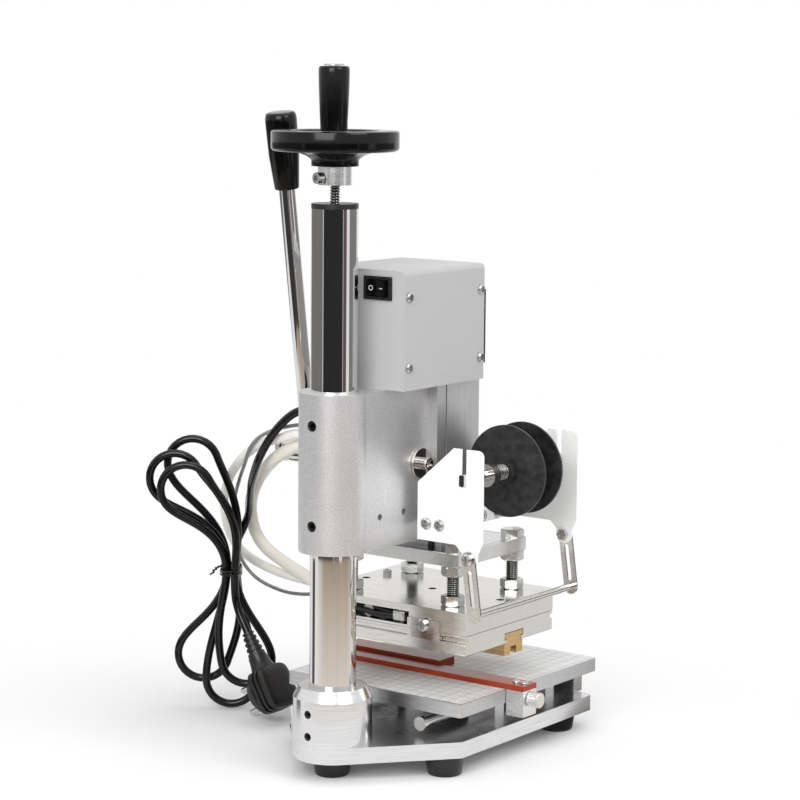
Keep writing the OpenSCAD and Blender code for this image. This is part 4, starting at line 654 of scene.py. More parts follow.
# %% [markdown]
# Where the mains cord leaves the block, a soft ribbed cone keeps it from kinking. Rings could be added to
# a plain cone one by one, but here the radius of one turned profile steps in and out.

# %% Strain relief
GLAND, GLAND_LEN = np.array([31.5, -44, 268]), 24.5
GLAND_RIB, GLAND_PITCH = 0.35, 3.5
gland_x = np.linspace(0, GLAND_LEN, 148)
ribs = (np.sin(gland_x * 2 * np.pi / GLAND_PITCH) > -0.2) | (gland_x < 2.5) | (gland_x > GLAND_LEN - 1)
gland_r = between(7.6, 4.8, gland_x / GLAND_LEN) + GLAND_RIB * ribs
relief = skin("strain_relief", turned(np.stack([gland_r, gland_x], 1) * MM, GLAND * MM, (1, 0, 0), 40))
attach(relief, "head")
print("strain relief", len(relief.data.polygons), "faces")

# %% [markdown]
# ## Small fittings
# Some things are too small or too flat for the solids: the squared sheet on the table and the heads of the
# fence's two screws. A sheet could be a bare plane, but it would have no edge. So it is a thin pad:
# a superellipse close to a rectangle, drawn in a little at both faces.

# %% Flat pads, sheet and screw heads
PAD_SIDES, PAD_SQUEEZE = 64, 0.02


def slab(low, high, rim=0.3, axis=2, power=16):
    """Grid of a flat pad: a superellipse nearly a rectangle, carried along the axis, drawn in at its ends."""
    low, high = np.asarray(low, float), np.asarray(high, float)
    a, b = ((1, 2), (2, 0), (0, 1))[axis]
    half, mid = (high - low) / 2, (high + low) / 2
    drawn = PAD_SQUEEZE * min(half[a], half[b]) + rim
    inset = np.array([drawn, 0, 0, drawn])
    x, y = superellipse(half[a] - inset, half[b] - inset, power, PAD_SIDES)
    t = min(rim, half[axis] * 0.6)
    grid = np.empty((4, PAD_SIDES, 3))
    grid[..., a], grid[..., b] = mid[a] + x, mid[b] + y
    grid[..., axis] = np.array([low[axis], low[axis] + t, high[axis] - t, high[axis]])[:, None]
    return grid * MM


TABLE_TOP, SHEET_T = 57.0, 0.25
grid_sheet = skin("grid_sheet", slab((-83, -238, TABLE_TOP), (83, -50, TABLE_TOP + SHEET_T), 0.08, power=60))
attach(grid_sheet, "table")

FENCE_TOP, FENCE_SCREW_Y, FENCE_SCREW_X = 61.5, -117.75, (-95.5, -87.8)
screw_head = np.array([[3.2, 0], [3.2, 0.8], [2.9, 1.3], [1.1, 1.5], [0.9, 0.7], [0.1, 0.7]])
head_feet = [np.array([x, FENCE_SCREW_Y, FENCE_TOP]) * MM for x in FENCE_SCREW_X]
fence_heads = skin("fence_screw_heads", *(turned(screw_head * MM, foot, (0, 0, 1), 32) for foot in head_feet))
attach(fence_heads, "fence")
print("sheet", len(grid_sheet.data.polygons), "faces,", len(head_feet), "screw heads")

# %% [markdown]
# The mains switch has a ring and a bar printed on its dished rocker, for off and on. A picture could be
# laid on it, but two raised lines need no picture: their points are set out on the dished face.

# %% Switch marks
ROCKER = np.array([-18, -29.5, 368.4])
ROCKER_TILT = math.radians(-7)
ROCKER_X = np.array([math.cos(ROCKER_TILT), math.sin(ROCKER_TILT), 0])
ROCKER_Y = np.array([-math.sin(ROCKER_TILT), math.cos(ROCKER_TILT), 0])
DISH_OUT, DISH_SLOPE, PROUD = 2.0, 1.2 / 9, 0.02
RING_AT, RING_R, RING_LINE, RING_T = 5.2, 1.7, 0.28, 0.1
BAR_FROM, BAR_TO, BAR_R = -3.6, -7.0, 0.3


def on_rocker(across, up):
    """Points on the rocker's dished face: out from its pin, plus the dish's rise to either side."""
    out = DISH_OUT + np.abs(across) * DISH_SLOPE + PROUD
    return ROCKER + across[..., None] * ROCKER_X + out[..., None] * ROCKER_Y + up[..., None] * UP


ring_path = on_rocker(RING_AT + RING_R * np.cos(circle(48)), RING_R * np.sin(circle(48)))
ring_out = ring_path - on_rocker(np.full(1, RING_AT), np.zeros(1))
ring_out /= np.linalg.norm(ring_out, axis=1, keepdims=True)
around = circle(8)[None, :, None]
ring_mark = (ring_path[:, None] + RING_LINE * np.cos(around) * ring_out[:, None]
             + RING_T * np.sin(around) * ROCKER_Y)
bar_path = on_rocker(np.linspace(BAR_FROM, BAR_TO, 8), np.zeros(8))
switch_ring = skin("switch_ring_mark", ring_mark * MM, closed=True)
switch_bar = skin("switch_bar_mark", tube(bar_path * MM, BAR_R * MM, 10, UP))
for piece in (switch_ring, switch_bar):
    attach(piece, "rocker")
print("switch marks", len(switch_ring.data.polygons), len(switch_bar.data.polygons), "faces")

# %% [markdown]
# The temperature controller shows its number in seven-segment digits on a dark window. Blender's own font
# has no such digits, so each digit lists its strokes, and each stroke is a small pad.

# %% Controller display
SEGMENTS = {"1": "bc", "5": "acdfg", "0": "abcdef"}
STROKES = {"a": ((0, 1), (1, 1)), "b": ((1, 1), (1, 0.5)), "c": ((1, 0.5), (1, 0)), "d": ((0, 0), (1, 0)),
           "e": ((0, 0.5), (0, 0)), "f": ((0, 1), (0, 0.5)), "g": ((0, 0.5), (1, 0.5))}
SHOWN = "150"
FIRST_DIGIT, DIGIT_PITCH = np.array([-16, -135.35, 333.0]), 12.5
DIGIT_SIZE, STROKE_HALF = np.array([7.5, 13.0]), np.array([0.75, 0.25, 0.75])
strokes = []
for place, digit in enumerate(SHOWN):
    foot = FIRST_DIGIT + np.array([DIGIT_PITCH * place, 0, 0])
    for segment in SEGMENTS[digit]:
        ends = [foot + np.array([DIGIT_SIZE[0] * u, 0, DIGIT_SIZE[1] * v]) for u, v in STROKES[segment]]
        low, high = np.minimum(*ends) - STROKE_HALF, np.maximum(*ends) + STROKE_HALF
        strokes.append(slab(low, high, 0.15, axis=1, power=5))
display_digits = skin("display_digits", *strokes)
display_window = skin("display_window", slab((-27, -135.2, 328), (27, -134.6, 353), 0.2, axis=1, power=14))
for piece in (display_digits, display_window):
    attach(piece, "head")
print("display", len(strokes), "strokes")

# %% [markdown]
# The heater's rear pocket shows where its cartridges come out: a bundle of dark wires that lies along
# the pocket, and a pale terminal. Each wire could be drawn on its own, but a gentle wave with its own
# phase and swing makes all of them from one line.

# %% Wires in the heater pocket
WIRE_R, WIRE_START, WIRE_LEN = 1.5, -17, 72
WIRES = ((-70.5, 109.5, 1.2), (-71.5, 113.2, 1.0), (-74.2, 111.2, 1.4), (-68.6, 111.6, 0.8))
s = np.linspace(0, 1, 60)
wires = []
for k, (y, z, swing) in enumerate(WIRES):
    sway, heave = swing * np.sin(6 * s + k), 0.8 * swing * np.cos(9 * s + 2 * k)
    route = np.stack([WIRE_START + WIRE_LEN * s, y + sway, z + heave], 1)
    wires.append(tube(route * MM, WIRE_R * MM, 12, UP))
pocket_wires = skin("pocket_wires", *wires)
terminal = skin("pocket_terminal", slab((-17, -70, 108), (-6, -66.4, 115.5), 0.5, axis=1, power=8))
for piece in (pocket_wires, terminal):
    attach(piece, "ram")
print("pocket wires", len(wires))

# %% [markdown]
# ## Crisp but not razor sharp
# Real plates and blocks have their edges broken, and that thin bright line is what makes metal read as
# metal. A shader could fake it, but the outlines would stay sharp. The solids come as loose triangles, so
# a Weld modifier joins them before a Bevel rounds the edges.

# %% Broken edges
def break_edges(width_mm, *names):
    """Adds a Weld and a small two-step Bevel to each named node."""
    for name in names:
        weld = nodes[name].modifiers.new("weld", "WELD")
        weld.merge_threshold = 1e-6
        bevel = nodes[name].modifiers.new("broken_edge", "BEVEL")
        bevel.width = width_mm * MM
        bevel.segments = 2
        bevel.limit_method = "ANGLE"
        bevel.angle_limit = math.radians(40)
        bevel.harden_normals = False
        faces = nodes[name].data.polygons
        faces.foreach_set("use_smooth", np.zeros(len(faces), bool))


break_edges(0.5, "base_plate", "table_plate", "head_block", "ram_carriage", "guide_plate", "adjusting_plate",
            "heater_block", "die_plate", "table_front_bar", "foil_crossbar", "fence_clamp")
break_edges(0.3, "fence_bar", "stop_bar", "type_holder", "switch_housing", "temperature_controller",
            "table_guides")
print("edges broken on", sum(bool(n.modifiers) for n in nodes.values()), "nodes")

# %% [markdown]
# ## Finishes
# Two effects return in most finishes: a fine grain that can be stretched into machining lines, and broad
# smudges that change how sharp a reflection is. Pictures of metal could be used, but noise has no seams
# and needs no file. Each effect is a node group with named sockets, built once and used with its own values.

# %% Grain
def add_node(tree, kind, values=None, **settings):
    """New shader node: settings are its attributes, and values fills its inputs by name or number."""
    made = tree.nodes.new(kind)
    for label, setting in settings.items():
        setattr(made, label, setting)
    for socket, value in (values or {}).items():
        made.inputs[socket].default_value = value
    return made


def effect(name, scale):
    """Empty node group with a vector, a scale and one mask output."""
    made = bpy.data.node_groups.new(name, "ShaderNodeTree")
    made.interface.new_socket("Vector", in_out="INPUT", socket_type="NodeSocketVector")
    made.interface.new_socket("Scale", in_out="INPUT", socket_type="NodeSocketFloat").default_value = scale
    made.interface.new_socket("Mask", in_out="OUTPUT", socket_type="NodeSocketFloat")
    return made, made.nodes.new("NodeGroupInput").outputs, made.nodes.new("NodeGroupOutput").inputs["Mask"]


def noise_mask(tree, vector, low, high, scale=None, scale_socket=None):
    """Noise from low to high spread over 0 to 1, at a fixed scale or at the scale that a socket gives."""
    noise = add_node(tree, "ShaderNodeTexNoise", {"Detail": 3.0})
    tree.links.new(vector, noise.inputs["Vector"])
    if scale_socket:
        tree.links.new(scale_socket, noise.inputs["Scale"])
    else:
        noise.inputs["Scale"].default_value = scale
    spread = add_node(tree, "ShaderNodeMapRange", {"From Min": low, "From Max": high})
    tree.links.new(noise.outputs["Fac"], spread.inputs["Value"])
    return spread.outputs["Result"]


grain, given, mask = effect("grain", 400.0)
grain.links.new(noise_mask(grain, given["Vector"], 0.3, 0.7, scale_socket=given["Scale"]), mask)

print("effects", [g.name for g in bpy.data.node_groups])

# %% [markdown]
# Fingers leave broad smudges with finer specks in them. One noise would look even, so two are added up,
# the broad one with the greater share.

# %% Smudges
BROAD_SHARE, FINE_SHARE, FINE_SCALE = 0.7, 0.3, 160.0
smudges, given, mask = effect("smudges", 18.0)
broad = noise_mask(smudges, given["Vector"], 0.35, 0.7, scale_socket=given["Scale"])
fine = noise_mask(smudges, given["Vector"], 0.3, 0.75, scale=FINE_SCALE)
fine_part = add_node(smudges, "ShaderNodeMath", {1: FINE_SHARE}, operation="MULTIPLY")
both_parts = add_node(smudges, "ShaderNodeMath", {1: BROAD_SHARE}, operation="MULTIPLY_ADD")
smudges.links.new(fine, fine_part.inputs[0])
smudges.links.new(broad, both_parts.inputs[0])
smudges.links.new(fine_part.outputs[0], both_parts.inputs[2])
smudges.links.new(both_parts.outputs[0], mask)
print("effects", [g.name for g in bpy.data.node_groups])

# %% [markdown]
# A finish mixes two close colours by the grain, takes its roughness from the smudges, and gets a little
# relief from the grain again. Each material could be wired on its own, but metal, paint, rubber and cloth
# sleeves differ only in their values here, so one function wires them all.

# %% One function for every finish
def tone(hexcode):
    """Linear colour from the six digits that a paint chart gives."""
    channels = np.array([int(hexcode[k:k + 2], 16) for k in (0, 2, 4)]) / 255
    linear = np.where(channels <= 0.04045, channels / 12.92, ((channels + 0.055) / 1.055) ** 2.4)
    return (*linear.tolist(), 1.0)


def finish(name, dark, light, rough, metallic, scale, stretch, relief, depth_mm,
           smudge_scale=18.0, uv=False, level=0.5):
    """Material that mixes two tones by grain, with roughness between two values by smudges, and relief."""
    made = bpy.data.materials.new(name)
    made.use_nodes = True
    tree = made.node_tree
    shader = tree.nodes["Principled BSDF"]
    shader.inputs["Metallic"].default_value = metallic
    shader.inputs["Specular IOR Level"].default_value = level
    place = add_node(tree, "ShaderNodeTexCoord")
    mapping = add_node(tree, "ShaderNodeMapping", {"Scale": stretch})
    fine = add_node(tree, "ShaderNodeGroup", {"Scale": scale}, node_tree=grain)
    broad = add_node(tree, "ShaderNodeGroup", {"Scale": smudge_scale}, node_tree=smudges)
    mix = add_node(tree, "ShaderNodeMix", {"A": tone(dark), "B": tone(light)}, data_type="RGBA")
    spread = add_node(tree, "ShaderNodeMapRange", {"To Min": rough[0], "To Max": rough[1]})
    bump = add_node(tree, "ShaderNodeBump", {"Strength": relief, "Distance": depth_mm * MM})
    for source, target in (
            (place.outputs["UV" if uv else "Object"], mapping.inputs["Vector"]),
            (mapping.outputs["Vector"], fine.inputs["Vector"]),
            (place.outputs["Object"], broad.inputs["Vector"]),
            (fine.outputs["Mask"], mix.inputs["Factor"]),
            (mix.outputs["Result"], shader.inputs["Base Color"]),
            (broad.outputs["Mask"], spread.inputs["Value"]),
            (spread.outputs["Result"], shader.inputs["Roughness"]),
            (fine.outputs["Mask"], bump.inputs["Height"]),
            (bump.outputs["Normal"], shader.inputs["Normal"])):
        tree.links.new(source, target)
    return made


print("mid grey is", round(tone("808080")[0], 3), "in linear light")

# %% [markdown]
# The table below gives each finish its values, in this order: the material's name, its dark and light
# tones, the range of its roughness, how metallic it is, the grain's scale and stretch, and the relief's
# strength and depth in millimetres. The larger metal pieces keep a narrow range of roughness, because
# a wide one shows as blotches in their reflections.

# %% Finishes of metal
METAL, PART_METAL, NO_METAL = 1.0, 0.6, 0.0
RINGS, STREAKS, LENGTHWISE, EVEN = (0.02, 0.02, 1), (1, 1, 0.02), (0.05, 1, 1), (1, 1, 1)
BRAIDED = (60, 1, 1)
FINISHES = {
    "milled": finish("milled_aluminium", "d6d6d7", "e8e8e9", (0.24, 0.3), METAL, 1500.0, RINGS, 0.06, 0.02),
    "turned": finish("turned_aluminium", "d2d2d3", "e4e4e5", (0.18, 0.23), METAL, 1800.0, RINGS, 0.06, 0.02),
    "table": finish("table_aluminium", "b8b8b9", "d2d2d3", (0.28, 0.34), METAL, 900.0, LENGTHWISE,
                    0.15, 0.02),
    "blasted": finish("blasted_aluminium", "c2c2c4", "ececed", (0.45, 0.5), METAL, 1700.0, EVEN, 0.35, 0.03),
    "satin": finish("satin_aluminium", "cacacb", "e0e0e1", (0.4, 0.46), METAL, 1800.0, STREAKS, 0.15, 0.02),
    "adjust": finish("satin_plate", "c4c4c4", "d8d8d7", (0.2, 0.26), METAL, 1300.0, EVEN, 0.1, 0.02),
    "chrome": finish("polished_chrome", "d6d4d2", "dcdad8", (0.03, 0.06), METAL, 500.0, STREAKS, 0.01, 0.01),
    "nickel": finish("bright_nickel", "c0bdb8", "d6d3ce", (0.08, 0.14), METAL, 600.0, EVEN, 0.04, 0.01),
    "steel": finish("turned_steel", "8c8c8e", "b4b4b6", (0.2, 0.34), METAL, 1600.0, RINGS, 0.15, 0.02),
    "zinc": finish("zinc_plate", "b2b3b2", "d4d5d3", (0.18, 0.34), METAL, 700.0, EVEN, 0.12, 0.02, 40.0),
    "black_steel": finish("black_oxide", "111112", "232325", (0.3, 0.5), PART_METAL, 900.0, EVEN, 0.2, 0.02),
    "heater": finish("heater_metal", "c8c6c2", "dcdad6", (0.15, 0.21), METAL, 1400.0, LENGTHWISE, 0.06, 0.02),
    "brass": finish("milled_brass", "bd9b69", "d8ba8c", (0.24, 0.34), METAL, 1200.0, RINGS, 0.15, 0.02),
    "braid": finish("steel_braid", "6e6e70", "c4c4c6", (0.3, 0.45), METAL, 40.0, BRAIDED, 0.6, 0.15, uv=True),
}
print(len(FINISHES), "finishes of metal")

# %% [markdown]
# Paint, plastic, rubber and cloth are not metallic. The glossy black mouldings, the cord and the red
# lacquer have a lower specular level than Blender's usual one, because a white studio would otherwise
# wash out their colour.

# %% Finishes of paint, plastic and cloth
WOVEN = (40, 1, 1)
FINISHES |= {
    "white_paint": finish("satin_white_paint", "b0b0b1", "bababb", (0.28, 0.4), NO_METAL, 1600.0, EVEN,
                          0.08, 0.03),
    "powder": finish("white_powder_coat", "f2f2f1", "fafaf9", (0.28, 0.38), NO_METAL, 1100.0, EVEN,
                     0.06, 0.04),
    "black_gloss": finish("black_moulding", "060606", "0b0b0c", (0.1, 0.2), NO_METAL, 600.0, EVEN, 0.03, 0.02,
                          level=0.25),
    "black_satin": finish("black_satin_moulding", "0d0d0e", "19191a", (0.3, 0.45), NO_METAL, 900.0, EVEN,
                          0.12, 0.03),
    "disc": finish("scuffed_black_disc", "101010", "2e2e2e", (0.3, 0.6), NO_METAL, 220.0, EVEN,
                   0.12, 0.03, 60.0),
    "rubber": finish("foot_rubber", "0b0b0c", "171718", (0.3, 0.45), NO_METAL, 900.0, EVEN, 0.15, 0.03),
    "fence": finish("red_brown_lacquer", "8c3016", "a44026", (0.16, 0.28), NO_METAL, 500.0, LENGTHWISE,
                    0.05, 0.02, level=0.3),
    "cord": finish("cord_sheath", "050506", "0a0a0b", (0.12, 0.18), NO_METAL, 300.0, EVEN,
                   0.01, 0.01, level=0.35),
    "white_sleeve": finish("white_glass_sleeve", "e4e2dc", "f6f4f0", (0.35, 0.5), NO_METAL, 60.0, WOVEN,
                           0.25, 0.1, uv=True),
    "cream_sleeve": finish("cream_glass_sleeve", "dcd6c8", "ece8de", (0.4, 0.55), NO_METAL, 50.0, WOVEN,
                           0.3, 0.12, uv=True),
    "board": finish("green_board", "0d3b1e", "17552d", (0.3, 0.5), NO_METAL, 300.0, EVEN, 0.1, 0.02),
    "mark": finish("white_print", "dadada", "f0f0f0", (0.4, 0.5), NO_METAL, 800.0, EVEN, 0.05, 0.01),
    "window": finish("smoked_window", "120506", "1c0a0b", (0.05, 0.12), NO_METAL, 300.0, EVEN, 0.02, 0.01),
    "wire": finish("black_wire", "0c0c0c", "1c1c1c", (0.3, 0.45), NO_METAL, 600.0, EVEN, 0.1, 0.02),
}
print(len(FINISHES), "finishes")

# %% [markdown]
# The controller's digits are lit from within. A lamp behind them could do it, but red strokes that give
# off their own colour are simpler, with the grain to keep the red from being flat.

# %% Glowing digits
glow = bpy.data.materials.new("red_digits")
glow.use_nodes = True
tree = glow.node_tree
shader = tree.nodes["Principled BSDF"]
shader.inputs["Emission Strength"].default_value = 0.8
place = add_node(tree, "ShaderNodeTexCoord")
flicker = add_node(tree, "ShaderNodeGroup", {"Scale": 300.0}, node_tree=grain)
mix = add_node(tree, "ShaderNodeMix", {"A": tone("d01510"), "B": tone("ff3b28")}, data_type="RGBA")
tree.links.new(place.outputs["Object"], flicker.inputs["Vector"])
tree.links.new(flicker.outputs["Mask"], mix.inputs["Factor"])
for socket in ("Emission Color", "Base Color"):
    tree.links.new(mix.outputs["Result"], shader.inputs[socket])
FINISHES["glow"] = glow
print("glow", shader.inputs["Emission Strength"].default_value)

# %% [markdown]
# Two finishes carry one more colour. Painted shade darkens the threads' grooves, by the depth that was
# stored on the points. The sheet on the table is ruled: a picture of squares could be laid on it, but its
# lines stay sharp if the material measures how far each point is from the nearest line in both directions.

# %% Threads and ruled sheet
def lay_over(made, mask, hexcode):
    """Mixes one more colour into a finish, as much as the mask says."""
    tree = made.node_tree
    shader = tree.nodes["Principled BSDF"]
    mix = add_node(tree, "ShaderNodeMix", {"B": tone(hexcode)}, data_type="RGBA")
    tree.links.new(shader.inputs["Base Color"].links[0].from_socket, mix.inputs["A"])
    tree.links.new(mask, mix.inputs["Factor"])
    tree.links.new(mix.outputs["Result"], shader.inputs["Base Color"])


threaded = finish("threaded_zinc", "b4b5b4", "d4d5d3", (0.16, 0.26), METAL, 700.0, EVEN, 0.08, 0.02, 40.0)
# Painted shade in the grooves: near black is mixed in as deep as each point lies in its groove.
grooves = add_node(threaded.node_tree, "ShaderNodeAttribute", attribute_name="groove")
lay_over(threaded, grooves.outputs["Fac"], "141415")
FINISHES["threaded"] = threaded

SQUARE_MM, LINE_SHARE = 10.0, 0.03
ruled = finish("ruled_sheet", "d9d9d8", "e6e6e5", (0.35, 0.5), NO_METAL, 500.0, EVEN, 0.05, 0.01)
tree = ruled.node_tree
place = add_node(tree, "ShaderNodeTexCoord")
split = add_node(tree, "ShaderNodeSeparateXYZ")
closest = add_node(tree, "ShaderNodeMath", operation="MINIMUM")
on_line = add_node(tree, "ShaderNodeMath", {1: LINE_SHARE}, operation="LESS_THAN")
tree.links.new(place.outputs["Object"], split.inputs["Vector"])
for number, axis in enumerate("XY"):
    squares = add_node(tree, "ShaderNodeMath", {1: 1 / (SQUARE_MM * MM)}, operation="MULTIPLY")
    bounce = add_node(tree, "ShaderNodeMath", {1: 0.5}, operation="PINGPONG")
    tree.links.new(split.outputs[axis], squares.inputs[0])
    tree.links.new(squares.outputs[0], bounce.inputs[0])
    tree.links.new(bounce.outputs[0], closest.inputs[number])
tree.links.new(closest.outputs[0], on_line.inputs[0])
lay_over(ruled, on_line.outputs[0], "9fa1a4")
FINISHES["ruled"] = ruled
print("ruled every", SQUARE_MM, "mm")

# %% [markdown]
# Every piece now gets its finish. Each object could be set where it is made, but one list shows at
# a glance what is made of what. The solids that a finer piece replaces are dressed as well.

# %% Give every piece its finish
WEARS = {
    "milled": "base_plate table_guides table_front_bar fence_clamp foil_crossbar",
    "turned": "column_collar hub_clamp",
    "table": "table_plate",
    "blasted": "head_block",
    "satin": "ram_carriage guide_plate",
    "chrome": "column guide_rods spool_shaft plug_pins knurled_thumb_screw"
              " lever_rod lever_hub lever_hub_knurl",
    "nickel": "foil_guide die_latch fence_screw_heads shaft_end_fixings",
    "threaded": "threaded_bolts lift_screw_thread",
    "adjust": "adjusting_plate",
    "steel": "lead_screw pivot_shaft pinion rack return_spring spool_spring thumb_screw"
             " heater_cartridges return_coil spool_coil",
    "zinc": "adjusting_bolts ram_screws box_screws wheel_fixings pocket_terminal",
    "black_steel": "head_screws base_screws table_screws",
    "heater": "heater_block die_plate",
    "brass": "type_holder lead_nut shaft_bushes",
    "white_paint": "box_base box_cover",
    "powder": "foil_ears",
    "black_gloss": "handwheel wheel_handle lever_grip rocker smooth_handwheel"
                   " smooth_wheel_handle smooth_lever_grip",
    "black_satin": "column_cap switch_housing temperature_controller cable_glands strain_relief"
                   " plug plug_body",
    "disc": "spool_discs",
    "rubber": "rubber_feet soft_feet",
    "fence": "fence_bar stop_bar",
    "cord": "power_cord power_hank mains_cord wire_tie",
    "white_sleeve": "white_sleeve heater_leads",
    "cream_sleeve": "cream_sleeve",
    "braid": "steel_braid",
    "board": "control_board",
    "mark": "switch_ring_mark switch_bar_mark",
    "window": "display_window",
    "glow": "display_digits",
    "wire": "pocket_wires",
    "ruled": "grid_sheet",
}
dressed = set()
for finish_name, names in WEARS.items():
    for name in names.split():
        materials = bpy.data.objects[name].data.materials
        materials.clear()
        materials.append(FINISHES[finish_name])
        dressed.add(name)

# %% [markdown]
# ## Floor and light
# The machine stands on a white sweep. Near it the floor is a real pale surface that takes a shadow, and
# far away it fades into plain white. A bent backdrop would do the same, but then its bend would show in
# the chrome.

# %% Floor
FLOOR_HALF, FLOOR_TONE = 6, 0.93
FADE_FROM, FADE_TO = 0.18, 0.5
corners = [(x * FLOOR_HALF, y * FLOOR_HALF, 0) for x, y in ((-1, -1), (1, -1), (1, 1), (-1, 1))]
floor = bpy.data.objects.new("floor", bpy.data.meshes.new("floor"))
floor.data.from_pydata(corners, [], [(0, 1, 2, 3)])
bpy.context.scene.collection.objects.link(floor)
sweep = bpy.data.materials.new("white_sweep")
sweep.use_nodes = True
tree = sweep.node_tree
near = tree.nodes["Principled BSDF"]
near.inputs["Base Color"].default_value = (FLOOR_TONE, FLOOR_TONE, FLOOR_TONE, 1)
near.inputs["Specular IOR Level"].default_value = 0
far = add_node(tree, "ShaderNodeEmission", {"Color": (1, 1, 1, 1)})
place = add_node(tree, "ShaderNodeTexCoord")
reach = add_node(tree, "ShaderNodeVectorMath", operation="LENGTH")
fade = add_node(tree, "ShaderNodeMapRange", {"From Min": FADE_FROM, "From Max": FADE_TO},
                interpolation_type="SMOOTHSTEP")
both = add_node(tree, "ShaderNodeMixShader")
tree.links.new(place.outputs["Object"], reach.inputs[0])
tree.links.new(reach.outputs["Value"], fade.inputs["Value"])
tree.links.new(fade.outputs["Result"], both.inputs[0])
tree.links.new(near.outputs[0], both.inputs[1])
tree.links.new(far.outputs[0], both.inputs[2])
tree.links.new(both.outputs[0], tree.nodes["Material Output"].inputs["Surface"])
floor.data.materials.append(sweep)
print("floor fades from", FADE_FROM, "to", FADE_TO, "m")

# %% [markdown]
# Polished metal shows what stands round it. A photographer puts boards beside the camera and mats on the
# floor, so that a chrome column gets its dark band, its warm band and its bright lines. A picture of
# a studio could be used, but a few strips can be moved one by one. They are seen only in reflections:
# each is a strip of a wide circle round the column, with angles counted from the camera.

# %% One board
BOARD_POINTS = 33


def board(name, degrees, edges, colour, near_colour=None, soft=0.02):
    """Strip of a cone round the column, from the first edge's radius and height to the second's.

    The colour runs from near_colour at the first edge to colour at the second. Over a share soft of its
    length at each end it fades to white: white plus (colour less white) times the share over soft.
    """
    angle = HEADING + math.pi / 2 + np.radians(np.linspace(*degrees, BOARD_POINTS))
    ring = np.stack([np.cos(angle), np.sin(angle)], 1)
    rows = [np.column_stack([ring * radius, np.full(BOARD_POINTS, height)]) for radius, height in edges]
    i = np.arange(BOARD_POINTS - 1)
    faces = np.stack([i, i + 1, i + 1 + BOARD_POINTS, i + BOARD_POINTS], 1)
    made = bpy.data.objects.new(name, bpy.data.meshes.new(name))
    made.data.from_pydata(np.vstack(rows).tolist(), [], faces.tolist())
    share = np.linspace(0, 1, BOARD_POINTS)
    full = np.clip(np.minimum(share, 1 - share) / soft, 0, 1)[:, None]
    tints = np.vstack([1 + (np.array(row) - 1) * full for row in (near_colour or colour, colour)])
    tones = made.data.attributes.new("tone", "FLOAT_COLOR", "POINT")
    tones.data.foreach_set("color", np.column_stack([tints, np.ones(len(tints))]).ravel())
    paint = bpy.data.materials.new(name)
    paint.use_nodes = True
    tree = paint.node_tree
    painted = add_node(tree, "ShaderNodeAttribute", attribute_name="tone")
    shine = add_node(tree, "ShaderNodeEmission")
    tree.links.new(painted.outputs["Color"], shine.inputs["Color"])
    tree.links.new(shine.outputs[0], tree.nodes["Material Output"].inputs["Surface"])
    made.data.materials.append(paint)
    for ray in ("camera", "diffuse", "shadow", "transmission"):
        setattr(made, "visible_" + ray, False)
    bpy.context.scene.collection.objects.link(made)


print("a board has", BOARD_POINTS, "points along each edge")

# %% [markdown]
# Where each board goes can be read off the column: a mirror cylinder shows what stands at twice the angle
# that its surface is turned there. The boards stand in a wide ring, and the mats lie just over the floor
# inside it. One mat is warm, and brighter near the press than further out.

# %% Boards for the reflections
MAT_Z = 0.002
STANDING = ((1.7, 0), (1.7, 0.4))
WARM_MAT = ((0.22, MAT_Z), (0.82, MAT_Z))
NEAR_MAT = ((0.2, MAT_Z), (0.82, MAT_Z))
FAR_MAT = ((0.82, MAT_Z), (1.69, MAT_Z))
BOARDS = {
    "black_board": ((-56, 44), STANDING, (0.032, 0.031, 0.032)),
    "plum_board": ((44, 62), STANDING, (0.15, 0.11, 0.13)),
    "left_grey_board": ((-152, -56), STANDING, (0.22, 0.22, 0.22)),
    "right_grey_board": ((77, 134), STANDING, (0.26, 0.26, 0.26)),
    "beige_mat": ((-84, 118), WARM_MAT, (0.46, 0.37, 0.28), (0.95, 0.88, 0.8), 0.2),
    "left_dark_mat": ((-120, -98), NEAR_MAT, (0.1, 0.1, 0.1)),
    "right_dark_mat": ((118, 126), NEAR_MAT, (0.2, 0.18, 0.17)),
    "black_mat": ((-80, 4), FAR_MAT, (0.05, 0.05, 0.05)),
    "grey_mat": ((4, 30), FAR_MAT, (0.17, 0.16, 0.16)),
    "far_plum_mat": ((44, 90), FAR_MAT, (0.26, 0.22, 0.23)),
}
for name, sizes in BOARDS.items():
    board(name, *sizes)
print(len(BOARDS), "boards")

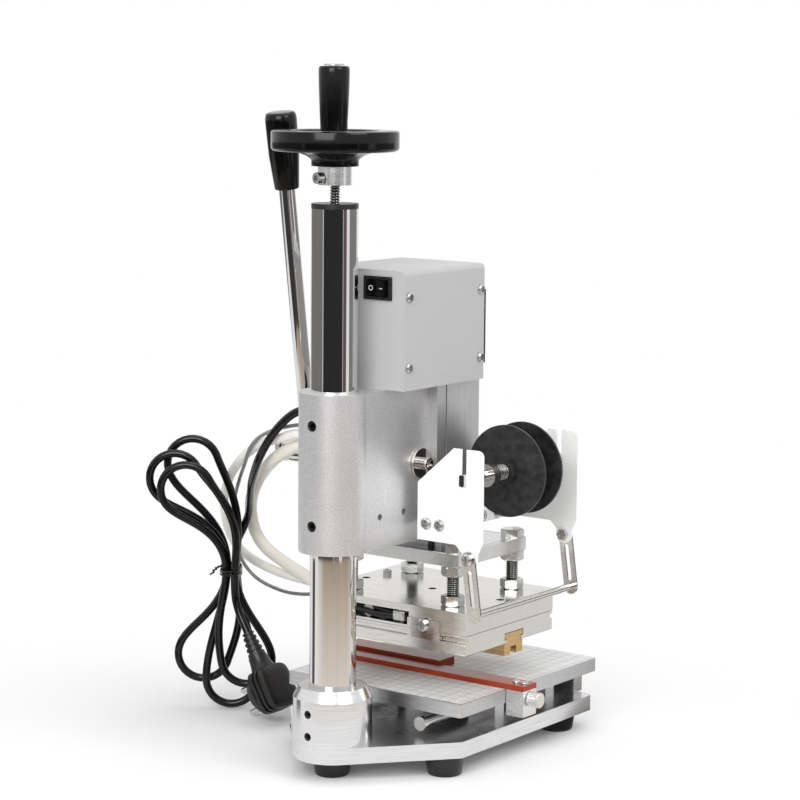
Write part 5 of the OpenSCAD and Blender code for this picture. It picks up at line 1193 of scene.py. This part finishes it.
# %% [markdown]
# An even white sky surrounds the press. It could be one plain strength, but then it would either be grey
# behind the machine or too strong on it. So it is plain white where the camera, a mirror or glass looks at
# it, and dimmer where it only lights a surface, which keeps the pale paint from clipping.

# %% Sky
SKY_LIGHT, SKY_SEEN = 0.55, 1.0
world = bpy.data.worlds.new("studio")
bpy.context.scene.world = world
world.use_nodes = True
tree = world.node_tree
sky = tree.nodes["Background"]
sky.inputs["Color"].default_value = (1, 1, 1, 1)
rays = add_node(tree, "ShaderNodeLightPath")
seen = rays.outputs["Is Camera Ray"]
for ray in ("Is Glossy Ray", "Is Transmission Ray"):
    either = add_node(tree, "ShaderNodeMath", operation="MAXIMUM")
    tree.links.new(seen, either.inputs[0])
    tree.links.new(rays.outputs[ray], either.inputs[1])
    seen = either.outputs[0]
strength = add_node(tree, "ShaderNodeMapRange", {"To Min": SKY_LIGHT, "To Max": SKY_SEEN})
tree.links.new(seen, strength.inputs["Value"])
tree.links.new(strength.outputs["Result"], sky.inputs["Strength"])
print("sky", SKY_LIGHT, "as light")

# %% [markdown]
# Three square lamps stand round the press: one on its left, one behind it and one above. The sky could
# light it alone, but then the shading would have no direction. Large lamps were chosen, because their
# shadows are soft.

# %% Lamps
def lamp(name, place, aim, size, watts):
    """Square soft lamp at a place, turned to face a point."""
    made = bpy.data.objects.new(name, bpy.data.lights.new(name, "AREA"))
    made.data.shape = "SQUARE"
    made.data.size = size
    made.data.energy = watts
    made.location = place
    made.rotation_euler = (Vector(aim) - Vector(place)).to_track_quat("-Z", "Y").to_euler()
    bpy.context.scene.collection.objects.link(made)


HEAD_MIDDLE, TABLE_MIDDLE = (0, -0.05, 0.25), (0, -0.1, 0.2)
lamp("key", (-1.6, 0.2, 1.5), HEAD_MIDDLE, 1.0, 12)
lamp("fill", (-0.6, 1.7, 1.2), HEAD_MIDDLE, 1.2, 26)
lamp("overhead", (0, -0.3, 1.9), TABLE_MIDDLE, 1.2, 7)
bpy.context.scene.view_settings.view_transform = "Standard"
